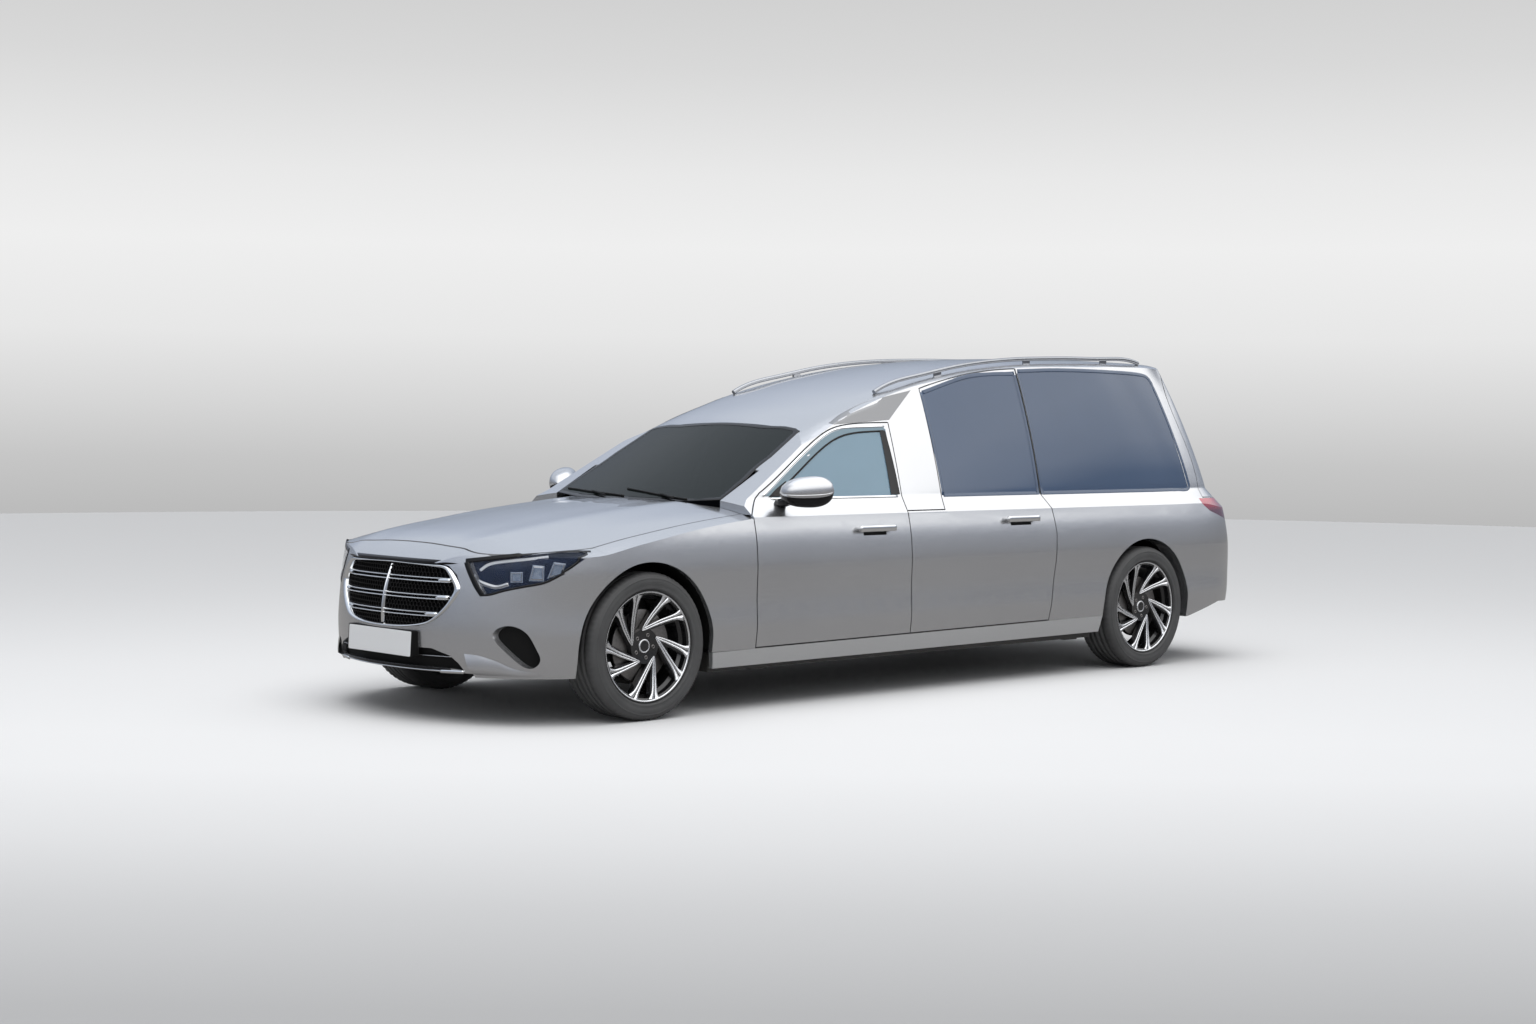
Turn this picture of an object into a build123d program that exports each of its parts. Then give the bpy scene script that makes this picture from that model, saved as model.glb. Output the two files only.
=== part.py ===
"""Long-wheelbase hearse on an executive sedan chassis.

Millimetres. X forward, Y left, Z up. Origin on the ground, under the middle of the car.
The body is cut from a few smooth skins: a lower body skin that wraps from nose to tail, an
upper skin for the glasshouse, a bonnet skin, a roof skin and a windscreen skin.
Each panel is the wall between an outer and an inner copy of those skins, trimmed to its outline.
"""
from build123d import *
from math import cos, sin, radians, hypot
import os

os.makedirs("parts", exist_ok=True)

# ---------------------------------------------------------------- driving dimensions
front_overhang = 885
wheelbase = 3800
rear_overhang = 1115
half_width = 940
track = 1634
length = front_overhang + wheelbase + rear_overhang
front_axle = length / 2 - front_overhang
rear_axle = front_axle - wheelbase
nose = front_axle + front_overhang
tail = rear_axle - rear_overhang

tyre_radius = 352
tyre_width = 245
bead_radius = 262
rim_radius = 268
arch_radius = 400
axle_height = tyre_radius

shut_gap = 6            # gap round a door, lid or tailgate
seam = 0.5              # gap between fixed panels that are bolted together
outer_panel = 18        # thickness of a door's outer flange and of its window frame
body_wall = 90          # thickness of doors and fixed body side below the belt
pillar_wall = 45        # thickness of pillars and cant rails
roof_wall = 45
wing_wall = 28
bonnet_wall = 22
glass_wall = 5

# stations along the car, from the front axle back
cowl = front_axle - 690            # rear end of wing and bonnet, front edge of front door
screen_base = front_axle - 600     # windscreen foot at the centre line
header = front_axle - 1320         # front edge of the roof panel
front_door_length = 1100
rear_door_length = 1180
centre_pillar_width = 270          # fixed panel behind the front door glass
door_split = cowl - front_door_length
side_glass_front = door_split - centre_pillar_width - 50
rear_door_end = door_split - rear_door_length
tailgate_seam = rear_axle - 470
lamp_front = rear_axle - 570

# heights
sill_foot = 212
sill_top = 300
shoulder = 945
belt = 1030
roof_apex = 1806
bumper_foot = 224
deck_height = 640
roof_half_width = 600


# ---------------------------------------------------------------- smooth curves
def curve(t, *stops):
    """Smooth value at t through (t, value) stops, straight beyond both ends."""
    slopes = [(b[1] - a[1]) / (b[0] - a[0]) for a, b in zip(stops, stops[1:])]
    if t <= stops[0][0]:
        return stops[0][1] + slopes[0] * (t - stops[0][0])
    if t >= stops[-1][0]:
        return stops[-1][1] + slopes[-1] * (t - stops[-1][0])
    tangents = [slopes[0]]
    for a, b in zip(slopes, slopes[1:]):
        tangents.append(0 if a * b <= 0 else 2 * a * b / (a + b))
    tangents.append(slopes[-1])
    i = max(k for k in range(len(slopes)) if stops[k][0] <= t)
    step = stops[i + 1][0] - stops[i][0]
    s = (t - stops[i][0]) / step
    return (stops[i][1] * (1 + 2 * s) * (1 - s) ** 2 + step * tangents[i] * s * (1 - s) ** 2
            + stops[i + 1][1] * s * s * (3 - 2 * s) + step * tangents[i + 1] * s * s * (s - 1))


def bezier(t, *poles):
    """Point and outward normal on a plan curve that runs from nose to tail round the left side."""
    while len(poles) > 2:
        poles = [tuple(p + (q - p) * t for p, q in zip(a, b)) for a, b in zip(poles, poles[1:])]
    (ax, ay), (bx, by) = poles
    run = hypot(bx - ax, by - ay)
    return ax + (bx - ax) * t, ay + (by - ay) * t, (by - ay) / run, (ax - bx) / run


# ---------------------------------------------------------------- skins
def side_in(z):
    """How far the lower body side stands in from its widest line at height z."""
    return curve(z, (100, 60), (200, 34), (260, 20), (330, 9), (430, 0), (530, 5), (620, 3),
                 (700, 0), (800, 7), (880, 19), (shoulder, 34), (1050, 44), (1400, 46), (1900, 48))


def nose_in(z):
    """How far the nose stands back from its most forward point at height z."""
    return curve(z, (100, 95), (200, 42), (260, 14), (330, 2), (420, 0), (500, 5), (600, 18),
                 (700, 36), (760, 52), (820, 76), (900, 110), (1050, 160), (1900, 300))


def tail_in(z):
    """How far the tail stands forward of its most rearward point at height z."""
    return curve(z, (100, 200), (250, 110), (334, 60), (443, 20), (586, 0), (704, 20), (825, 88),
                 (900, 142), (960, 178), (1000, 188), (1100, 160), (1300, 110), (1900, 60))


def evenly(line, step):
    """Resample a plan line of (x, y, nx, ny) to points one step apart."""
    kept, gone = [line[0]], 0
    for a, b in zip(line, line[1:]):
        run = hypot(b[0] - a[0], b[1] - a[1])
        while gone + run >= step:
            share = (step - gone) / run
            a = tuple(p + (q - p) * share for p, q in zip(a, b))
            kept.append(a)
            run, gone = run * (1 - share), 0
        gone += run
    return kept


def levels(bottom, top, count):
    return [bottom + (top - bottom) * k / count for k in range(count + 1)]


def lower_skin(inset):
    """Wrap from nose to tail at the lower body, moved in by inset."""
    nose_poles = ((nose, 0), (nose, 0.44 * half_width), (front_axle + 670, half_width - 8),
                  (front_axle + 200, half_width))
    tail_poles = ((rear_axle - 330, half_width), (rear_axle - 1050, half_width),
                  (tail + 15, half_width - 90), (tail, 0))
    line = [bezier(t / 100, *nose_poles) for t in range(-4, 100)]
    line += [bezier(t / 100, *tail_poles) for t in range(0, 106)]
    rows = []
    for x, y, nx, ny in evenly(line, 70):
        row = []
        for z in levels(100, 1900, 30):
            fore, aft = max(nx, 0) ** 2, max(-nx, 0) ** 2
            row.append(Vector(x - nx * inset - nose_in(z) * fore + tail_in(z) * aft,
                              y - ny * inset - side_in(z) * ny * ny, z))
        rows.append(row)
    return Face.make_surface_from_array_of_points(rows, tol=0.5, min_deg=3, max_deg=6)


def belt_width(x):
    """Half width of the glasshouse at the belt line."""
    return curve(-x, (-front_axle + 300, half_width - 160), (-cowl, half_width - 140),
                 (-cowl + 500, half_width - 107), (-door_split, half_width - 92),
                 (-rear_door_end, half_width - 84), (-rear_axle, half_width - 84),
                 (-rear_axle + 400, half_width - 94))


def lean(x):
    """How fast the glasshouse leans in with height, at the belt."""
    return curve(-x, (-cowl, 0.44), (-header, 0.405), (-door_split, 0.35), (-door_split + 300, 0.30),
                 (-door_split + 650, 0.235), (-rear_door_end, 0.185), (-rear_axle, 0.15),
                 (-rear_axle + 600, 0.15))


def upper_skin(inset):
    """Wrap from windscreen to tail at the glasshouse, moved in by inset; below the belt it flares out."""
    start, corner = screen_base + 300, rear_axle - 400
    corner_width = belt_width(corner)
    poles = ((corner, corner_width), (tail + 250, corner_width),
             (tail + 200, corner_width - 75), (tail + 190, 0))
    line = [(x, belt_width(x), 0, 1) for x in levels(start, corner, 150)[:-1]]
    line += [bezier(t / 100, *poles) for t in range(0, 106)]
    ledge = half_width - side_in(shoulder)
    rows = []
    for x, y, nx, ny in evenly(line, 70):
        row = []
        aft = curve(-x, (-rear_axle - 900, 0), (-rear_axle - 300, 0.25), (-corner, 0.96),
                    (-corner + 100, 1), (-tail, 1))
        aft = min(1, max(0, aft))
        for z in levels(790, 1900, 28):
            up = (z - belt) / 1000
            if up > 0:
                side = (lean(x) * up + 0.14 * up * up) * 1000
                rake = (0.37 * up + 0.27 * up * up) * 1000 * aft
                row.append(Vector(x - nx * inset + rake, y - ny * inset - side * ny * ny, z))
            else:
                side = (ledge - belt_width(max(x, corner))) * (belt - z) / (belt - shoulder)
                flare = side * ny * ny - 1200 * up * nx * nx - inset
                row.append(Vector(x + nx * flare, y + ny * flare, z))
        rows.append(row)
    return Face.make_surface_from_array_of_points(rows, tol=0.5, min_deg=3, max_deg=6)


def height_skin(height, inset, start, end, columns):
    """Skin over the plan, from a height function of x and y."""
    xs = [start + (end - start) * k / columns for k in range(columns + 1)]
    rows = [[Vector(x, y, height(x, y) - inset) for y in range(-40, 1241, 80)] for x in xs]
    return Face.make_surface_from_array_of_points(rows, tol=0.3, min_deg=3, max_deg=6)


def bonnet_height(x, y):
    ahead = x - front_axle
    centre = curve(-ahead, (-1000, 600), (-900, 668), (-850, 708), (-800, 755), (-750, 800),
                   (-700, 833), (-600, 871), (-450, 901), (-200, 937), (0, 963), (300, 993),
                   (690, 1027), (900, 1040))
    edge = curve(-ahead, (-900, 120), (-325, 122), (-134, 112), (50, 104), (366, 88), (690, 82))
    ridge = 6 * curve(abs(abs(y) - 430), (0, 1), (60, 0.5), (150, 0), (900, 0))
    return centre + ridge - edge * (abs(y) / (half_width - 55)) ** 2.4


def roof_height(x, y):
    centre = curve(-x, (-header - 200, 1345), (-header, 1405), (-header + 180, 1475),
                   (-header + 380, 1542), (-header + 580, 1602), (-header + 780, 1652),
                   (-header + 1080, 1712), (-header + 1380, 1757), (-header + 1700, 1785),
                   (-header + 2100, roof_apex - 6), (-rear_axle, roof_apex),
                   (-rear_axle + 400, roof_apex - 4), (-rear_axle + 1200, roof_apex - 60))
    shoulder_drop = max(0, abs(y) - 500)
    return centre - 0.08 * y * y / 1000 - 0.6 * shoulder_drop ** 2 / 1000


def screen_height(x, y):
    return 1010 + 0.557 * (screen_base - x - 0.15 * y * y / 1000)


# ---------------------------------------------------------------- solid cores inside the skins
def cabin_core(lower_in, upper_in, roof_in, screen_in):
    """Left half of the cabin and load space, filled, inside the skins moved in by these amounts."""
    front, back = screen_base + 60, tail - 100
    with BuildPart() as core:
        with BuildSketch(Plane.XZ):
            with Locations(((front + back) / 2, 1000)):
                Rectangle(front - back, 1700)
        extrude(amount=-1200)
        split(bisect_by=lower_skin(lower_in), keep=Keep.BOTTOM)
        split(bisect_by=height_skin(roof_height, roof_in, front + 200, back - 200, 40), keep=Keep.TOP)
        split(bisect_by=height_skin(screen_height, screen_in, front + 200, back - 200, 12),
              keep=Keep.TOP)
        split(bisect_by=upper_skin(upper_in), keep=Keep.BOTTOM)
    return core.part


def nose_core(lower_in, bonnet_in):
    """Left half of the front end, filled, inside the skins moved in by these amounts."""
    front, back = nose + 60, screen_base - 200
    with BuildPart() as core:
        with BuildSketch(Plane.XZ):
            with Locations(((front + back) / 2, 660)):
                Rectangle(front - back, 1100)
        extrude(amount=-1200)
        split(bisect_by=lower_skin(lower_in), keep=Keep.BOTTOM)
        split(bisect_by=height_skin(bonnet_height, bonnet_in, front + 100, back - 100, 30),
              keep=Keep.TOP)
    return core.part


def wall(outer, inner):
    """What lies inside one core and outside another."""
    with BuildPart() as between:
        add(outer)
        add(inner, mode=Mode.SUBTRACT)
    return between.part


def both(half):
    """A half panel that reaches the centre line, joined to its mirror image."""
    with BuildPart() as whole:
        add(half)
        mirror(about=Plane.XZ)
    return whole.part


def opposite(left):
    """The right-hand twin of a left-hand piece."""
    return mirror(left, about=Plane.XZ)


# ---------------------------------------------------------------- outlines
def sill_line(x):
    return sill_top + (cowl - x) * 0.0075


glass_seam = rear_door_end + 59
roof_side = roof_apex - 84


def grown(outline, grow):
    """An outline moved out by grow, with its curved edges drawn again as plain splines."""
    if not grow:
        return outline
    with BuildSketch() as larger:
        with BuildLine():
            for edge in offset(outline, amount=grow).face().outer_wire().edges():
                if edge.geom_type in (GeomType.LINE, GeomType.CIRCLE):
                    add(edge)
                else:
                    Spline(*(edge @ (k / 16) for k in range(17)), tangents=(edge % 0, edge % 1))
        make_face()
    return larger.sketch


def side_view(grow, *runs):
    """Closed outline in side view from runs of (x, z) points: three or more points make a curve."""
    with BuildSketch() as sketch:
        with BuildLine():
            ends = []
            for run in runs:
                if len(run) > 2:
                    Spline(*run)
                elif len(run) == 2:
                    Line(*run)
                ends.append((run[0], run[-1]))
            for (_, a), (b, _) in zip(ends, ends[1:] + ends[:1]):
                if a != b:
                    Line(a, b)
        make_face()
    return grown(sketch.sketch, grow)


def front_door_outline(grow=0):
    return side_view(
        grow,
        ((cowl, sill_line(cowl) + 8), (cowl, shoulder + 10)),
        ((cowl - 135, 1057), (cowl - 352, 1178), (cowl - 589, 1312), (cowl - 748, 1380),
         (cowl - 896, 1405), (door_split - 56, 1414)),
        ((door_split, shoulder), (door_split, sill_line(door_split) + 8)))


def front_window_outline(grow=0):
    return side_view(
        grow,
        ((cowl - 195, belt + 4),),
        ((cowl - 375, 1152), (cowl - 600, 1281), (cowl - 755, 1347), (cowl - 900, 1374),
         (door_split - 26, 1384)),
        ((door_split + 15, belt + 4),))


def rear_door_outline(grow=0):
    front = door_split - shut_gap
    return side_view(
        grow,
        ((front, sill_line(front) + 8), (front, shoulder + 8)),
        ((side_glass_front + 22, shoulder + 8), (side_glass_front, belt)),
        ((side_glass_front - 40, roof_side - 122), (side_glass_front - 416, roof_side - 38),
         (glass_seam, roof_side)),
        ((glass_seam, belt), (rear_door_end + 10, shoulder)),
        ((rear_door_end - 6, 810), (rear_door_end + 4, 650)),
        ((rear_door_end + 54, sill_line(rear_door_end) + 8),))


def rear_window_outline(grow=0):
    return side_view(
        grow,
        ((side_glass_front - 10, belt + 2),),
        ((side_glass_front - 48, roof_side - 132), (side_glass_front - 416, roof_side - 50),
         (glass_seam + 8, roof_side - 12)),
        ((glass_seam + 8, belt + 2),))


def quarter_window_outline(grow=0):
    rear = tailgate_seam
    return side_view(
        grow,
        ((glass_seam - 20, belt + 2),),
        ((glass_seam - 20, roof_side - 11), (glass_seam - 380, roof_side + 3),
         (rear_axle + 40, roof_side), (rear_axle - 300, roof_side - 10)),
        ((rear_axle - 352, roof_side - 64), (rear_axle - 505, belt + 14)),
        ((rear_axle - 495, belt + 2),))


def arch_outline(axle, radius=arch_radius):
    """Wheel opening in side view: round over the wheel, straight down below the axle."""
    with BuildSketch() as sketch:
        with Locations((axle, axle_height)):
            Circle(radius)
            Rectangle(2 * radius, axle_height - 50, align=(Align.CENTER, Align.MAX))
    return sketch.sketch


def grille_outline(grow=0):
    """Half of the grille opening in front view, as (y, z)."""
    with BuildSketch() as sketch:
        with BuildLine():
            Polyline((-40, 444), (270, 450), (376, 490), (426, 536), (470, 600), (485, 642),
                     (458, 696), (407, 736), (300, 748), (-40, 752), close=True)
        make_face()
        fillet(sketch.vertices().filter_by(lambda v: v.X > 0), 22)
    return grown(sketch.sketch, grow)


def intake_outline(grow=0):
    """Half of the low centre intake in front view."""
    with BuildSketch() as sketch:
        with BuildLine():
            Polyline((-40, 262), (430, 262), (508, 256), (488, 288), (449, 322), (349, 351),
                     (-40, 352), close=True)
        make_face()
    return grown(sketch.sketch, grow)


def side_intake_outline(grow=0):
    """Corner air inlet in front view."""
    with BuildSketch() as sketch:
        with BuildLine():
            Spline((648, 436), (674, 462), (724, 468), (770, 436), (797, 368), (802, 296),
                   (778, 274), (724, 312), (668, 380), periodic=True)
        make_face()
    return grown(sketch.sketch, grow)


def headlamp_outline(grow=0):
    """Headlamp in front view."""
    with BuildSketch() as sketch:
        with BuildLine():
            Spline((497, 760), (600, 772), (709, 788), (800, 806))
            Line((800, 806), (862, 806))
            Line((862, 806), (905, 778))
            Spline((905, 778), (866, 716), (818, 676), (748, 655), (679, 636), (626, 617))
            Line((626, 617), (585, 613))
            Line((585, 613), (497, 760))
        make_face()
    return grown(sketch.sketch, grow)


def bonnet_outline(grow=0):
    """Half of the bonnet in plan, as (x, y)."""
    with BuildSketch() as sketch:
        with BuildLine():
            Line((front_axle + 702, -40), (front_axle + 702, 440))
            Spline((front_axle + 702, 440), (front_axle + 690, 560), (front_axle + 600, 706),
                   (front_axle + 430, 792), (front_axle + 270, 832))
            Line((front_axle + 270, 832), (cowl + 10, 812))
            Line((cowl + 10, 812), (cowl + 10, 650))
            Spline((cowl + 10, 650), (screen_base + 16, 380), (screen_base + 46, -40))
            Line((screen_base + 46, -40), (front_axle + 702, -40))
        make_face()
    return grown(sketch.sketch, grow)


def screen_outline(grow=0):
    """Half of the windscreen in plan."""
    with BuildSketch() as sketch:
        with BuildLine():
            Spline((screen_base, -40), (screen_base - 22, 340), (front_axle - 700, 655))
            Line((front_axle - 700, 655), (header + 18, 588))
            Spline((header + 18, 588), (header + 8, 300), (header + 4, -40))
            Line((header + 4, -40), (screen_base, -40))
        make_face()
    return grown(sketch.sketch, grow)


def roof_outline(grow=0):
    """Half of the roof panel in plan."""
    with BuildSketch() as sketch:
        with BuildLine():
            Spline((header, -40), (header + 4, 300), (header + 14, roof_half_width))
            Line((header + 14, roof_half_width), (roof_end, roof_half_width))
            Line((roof_end, roof_half_width), (roof_end, -40))
            Line((roof_end, -40), (header, -40))
        make_face()
    return grown(sketch.sketch, grow)


roof_end = rear_axle - 448
tailgate_foot = 660
tailgate_half_foot = 600
lamp_top = 978


def tailgate_region(gap):
    """Space that the tailgate takes: everything behind its seam, and a narrower foot between the lamps."""
    with BuildPart() as region:
        with BuildSketch(Plane.XZ):
            with BuildLine():
                Spline((rear_axle - 622 + gap, lamp_top + 6 - gap), (rear_axle - 612 + gap, 1180),
                       (rear_axle - 530 + gap, 1420), (rear_axle - 472 + gap, 1600),
                       (roof_end - 6 + gap, 1900))
                Line((roof_end - 6 + gap, 1900), (tail - 150, 1900))
                Line((tail - 150, 1900), (tail - 150, lamp_top + 6 - gap))
                Line((tail - 150, lamp_top + 6 - gap), (rear_axle - 622 + gap, lamp_top + 6 - gap))
            make_face()
        extrude(amount=-1200)
        with BuildSketch(Plane.YZ.offset(tail - 150)):
            with BuildLine():
                Polyline((0, tailgate_foot - gap), (tailgate_half_foot + gap, tailgate_foot - gap),
                         (tailgate_half_foot + gap, lamp_top + 7), (0, lamp_top + 7), close=True)
            make_face()
        extrude(amount=rear_axle - 500 - tail + 150)
    return region.part


# ---------------------------------------------------------------- shells
def glass_core(inset):
    """Left half of everything above the belt and inside the upper skin moved in by inset."""
    with BuildPart() as core:
        with BuildSketch(Plane.XZ):
            with Locations(((header + tail) / 2, 1400)):
                Rectangle(header - tail + 900, 760)
        extrude(amount=-1200)
        split(bisect_by=upper_skin(inset), keep=Keep.BOTTOM)
    return core.part


cabin_outer = cabin_core(0, 0, 0, 0)
fixed_shell = wall(cabin_outer, cabin_core(body_wall, pillar_wall, roof_wall, roof_wall))
flange_shell = wall(cabin_outer, cabin_core(outer_panel, outer_panel, outer_panel, outer_panel))
glass_shell = wall(glass_core(1), glass_core(1 + glass_wall))
nose_outer = nose_core(0, 0)
nose_inner = nose_core(wing_wall, bonnet_wall)
nose_shell = wall(nose_outer, nose_inner)


def keep(part, label):
    """Label a finished piece and write it."""
    part.label = label
    export_step(part, f"parts/{label}.step", write_pcurves=False)


# ---------------------------------------------------------------- doors
def door_panel(outline, belt_cut):
    """Outer flange with its window frame, and a thicker box inside it below the belt."""
    with BuildPart() as box:
        add(fixed_shell)
        with BuildSketch(Plane.XZ):
            add(outline(-14))
        extrude(amount=-1200, mode=Mode.INTERSECT)
        with BuildSketch(Plane.XY.offset(belt_cut)):
            Rectangle(7000, 3000)
        extrude(amount=1200, mode=Mode.SUBTRACT)
    with BuildPart() as panel:
        add(flange_shell)
        with BuildSketch(Plane.XZ):
            add(outline())
        extrude(amount=-1200, mode=Mode.INTERSECT)
        add(box.part)
        with BuildSketch(Plane.XY.offset(1200)):
            Rectangle(7000, 2 * (roof_half_width + shut_gap))
        extrude(amount=800, mode=Mode.SUBTRACT)
    return panel.part


def handle(x, z):
    """Pull handle on its two feet, with its cup, on the door skin."""
    skin = half_width - side_in(z)
    with BuildPart() as pull:
        with BuildSketch(Plane.XZ.offset(-(skin + 16))):
            with Locations((x, z)):
                SlotOverall(270, 30)
        extrude(amount=-16)
        fillet(pull.edges().group_by(Axis.Y)[-1], 6)
        with BuildSketch(Plane.XZ.offset(-(skin - 6))):
            with Locations((x - 105, z), (x + 105, z)):
                SlotOverall(44, 22)
        extrude(amount=-24)
    return pull.part


def door(outline, window, belt_cut, handle_x, handle_z):
    with BuildPart() as panel:
        add(door_panel(outline, belt_cut))
        with BuildSketch(Plane.XZ):
            add(window())
        extrude(amount=-1200, mode=Mode.SUBTRACT)
        add(handle(handle_x, handle_z))
    return panel.part


def pane(window):
    """Side glass, a little smaller than its opening."""
    with BuildPart() as glass:
        add(glass_shell)
        with BuildSketch(Plane.XZ):
            add(window(-0.4))
        extrude(amount=-1200, mode=Mode.INTERSECT)
    return glass.part


front_door = door(front_door_outline, front_window_outline, belt - 12, cowl - 833, 872)
rear_door = door(rear_door_outline, rear_window_outline, belt - 12, door_split - 890, 895)
front_glass = pane(front_window_outline)
rear_glass = pane(rear_window_outline)
quarter_glass = pane(quarter_window_outline)
for side, turn in (("left", lambda p: p), ("right", opposite)):
    keep(turn(front_door), f"front_door_{side}")
    keep(turn(rear_door), f"rear_door_{side}")
    keep(turn(front_glass), f"front_door_glass_{side}")
    keep(turn(rear_glass), f"rear_door_glass_{side}")

with BuildPart() as quarter_windows:
    add(quarter_glass)
    add(opposite(quarter_glass))
keep(quarter_windows.part, "quarter_windows")

# ---------------------------------------------------------------- fixed body side
bumper_seam = 655


def rear_bumper_outline(grow=0):
    with BuildSketch() as sketch:
        with BuildLine():
            Polyline((rear_axle - 300, 100), (rear_axle - 300, 600), (rear_axle - 480, 640),
                     (rear_axle - 700, bumper_seam), (tail - 100, bumper_seam), (tail - 100, 100),
                     close=True)
        make_face()
    return grown(sketch.sketch, grow)


def tail_lamp_outline(grow=0):
    with BuildSketch() as sketch:
        with BuildLine():
            Polyline((lamp_front, lamp_top - 3), (lamp_front - 8, 944), (lamp_front - 80, 900),
                     (rear_axle - 830, 850), (tail - 100, 840), (tail - 100, lamp_top - 3), close=True)
        make_face()
    return grown(sketch.sketch, grow)


with BuildPart() as body_side:
    add(fixed_shell)
    with BuildSketch(Plane.XZ):
        with BuildLine():
            Polyline((cowl + shut_gap - seam, sill_line(cowl) + seam), (cowl + shut_gap - seam, 1900),
                     (tail - 90, 1900),
                     (tail - 90, sill_line(tail - 90) + seam), close=True)
        make_face()
    extrude(amount=-1200, mode=Mode.INTERSECT)
    add(tailgate_region(shut_gap), mode=Mode.SUBTRACT)
    with BuildSketch(Plane.XY.offset(1000)):
        add(roof_outline(0.5))
        add(screen_outline(0.5))
    extrude(amount=1000, mode=Mode.SUBTRACT)
    with BuildSketch(Plane.XY.offset(900)):
        with Locations((cowl - 60, 300)):
            Rectangle(400, 720)
    extrude(amount=300, mode=Mode.SUBTRACT)
    with BuildSketch(Plane.XZ):
        add(front_door_outline(shut_gap))
        add(rear_door_outline(shut_gap))
        with Locations((glass_seam - 4, (belt + roof_side) / 2)):
            Rectangle(14, roof_side - belt + 10)
        add(quarter_window_outline())
        add(arch_outline(rear_axle))
        add(rear_bumper_outline(seam))
    extrude(amount=-1200, mode=Mode.SUBTRACT)
    with BuildSketch(Plane.XZ.offset(-(tailgate_half_foot + shut_gap))):
        add(tail_lamp_outline(seam))
    extrude(amount=-600, mode=Mode.SUBTRACT)
print("body side", [round(s.volume / 1e6, 2) for s in body_side.part.solids()])
keep(body_side.part, "body_side_left")
keep(opposite(body_side.part), "body_side_right")

with BuildPart() as roof_half:
    add(fixed_shell)
    with BuildSketch(Plane.XY.offset(1200)):
        add(roof_outline())
    extrude(amount=800, mode=Mode.INTERSECT)
    add(tailgate_region(shut_gap), mode=Mode.SUBTRACT)
keep(both(roof_half.part), "roof")
print("roof", [round(s.volume / 1e6, 2) for s in roof_half.part.solids()])

# ---------------------------------------------------------------- tailgate
def rear_window_view(grow=0):
    """Half of the tailgate window in rear view, as (y, z)."""
    with BuildSketch() as sketch:
        with BuildLine():
            Polyline((-40, belt + 24), (652, belt + 34), (556, roof_apex - 156), (400, roof_apex - 128),
                     (-40, roof_apex - 116), close=True)
        make_face()
        fillet(sketch.vertices().filter_by(lambda v: v.X > 0), 40)
    return grown(sketch.sketch, grow)


with BuildPart() as tailgate_half:
    add(fixed_shell)
    add(tailgate_region(0), mode=Mode.INTERSECT)
    with BuildSketch(Plane.YZ.offset(tail - 150)):
        add(rear_window_view())
    extrude(amount=800, mode=Mode.SUBTRACT)
print("tailgate", [round(s.volume / 1e6, 2) for s in tailgate_half.part.solids()])
keep(both(tailgate_half.part), "tailgate")

with BuildPart() as tailgate_glass_half:
    add(glass_shell)
    with BuildSketch(Plane.YZ.offset(tail - 150)):
        add(rear_window_view(-0.4))
    extrude(amount=800, mode=Mode.INTERSECT)
keep(both(tailgate_glass_half.part), "tailgate_glass")

# ---------------------------------------------------------------- rear bumper, tail lamps, sills
with BuildPart() as rear_bumper_half:
    add(fixed_shell)
    with BuildSketch(Plane.XZ):
        add(rear_bumper_outline())
    extrude(amount=-1200, mode=Mode.INTERSECT)
    with BuildSketch(Plane.XZ):
        add(arch_outline(rear_axle))
        with BuildLine():
            Polyline((rear_axle - 300, 50), (rear_axle - 300, 268), (rear_axle - 420, 276),
                     (rear_axle - 740, 350), (tail - 100, 335), (tail - 100, 50), close=True)
        make_face()
    extrude(amount=-1200, mode=Mode.SUBTRACT)
    add(tailgate_region(shut_gap), mode=Mode.SUBTRACT)
keep(both(rear_bumper_half.part), "rear_bumper")
print("rear bumper", [round(s.volume / 1e6, 2) for s in rear_bumper_half.part.solids()])

with BuildPart() as tail_lamp:
    add(fixed_shell)
    with BuildSketch(Plane.XZ.offset(-(tailgate_half_foot + shut_gap + seam))):
        add(tail_lamp_outline())
    extrude(amount=-600, mode=Mode.INTERSECT)
    add(tailgate_region(shut_gap), mode=Mode.SUBTRACT)
with BuildPart() as tail_lamps:
    add(tail_lamp)
    add(opposite(tail_lamp.part))
keep(tail_lamps.part, "tail_lamps")

def sill_outline(grow=0):
    """Sill between the wheel arches in side view."""
    with BuildSketch() as sketch:
        with BuildLine():
            Polyline((front_axle - 418, sill_foot + 6), (front_axle - 404, sill_line(front_axle - 404)),
                     (rear_axle + 402, sill_line(rear_axle + 402)), (rear_axle + 418, sill_foot + 18),
                     close=True)
        make_face()
    return grown(sketch.sketch, grow)


with BuildPart() as sill_end:                          # ahead of the cabin, behind the front wheel
    add(nose_shell)
    with BuildSketch(Plane.XZ):
        add(sill_outline())
    extrude(amount=-1200, mode=Mode.INTERSECT)
    split(bisect_by=Plane.YZ.offset(screen_base + 60), keep=Keep.TOP)
with BuildPart() as sill:
    add(fixed_shell)
    with BuildSketch(Plane.XZ):
        add(sill_outline())
    extrude(amount=-1200, mode=Mode.INTERSECT)
    with BuildSketch(Plane.XY):
        with Locations(((front_axle + rear_axle) / 2, 800)):
            Rectangle(wheelbase, 120)
    extrude(amount=sill_foot + 200, mode=Mode.SUBTRACT)
    add(sill_end)
print("sill", [round(s.volume / 1e6, 2) for s in sill.part.solids()])

# ---------------------------------------------------------------- front end
def bumper_half_space(grow=0):
    """Everything ahead of the joint between wing and bumper, in side view."""
    with BuildSketch() as sketch:
        joint = front_axle + 262 - grow
        with BuildLine():
            Polyline((joint, 100), (joint, 1100), (nose + 100, 1100), (nose + 100, 100), close=True)
        make_face()
    return sketch.sketch


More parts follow.
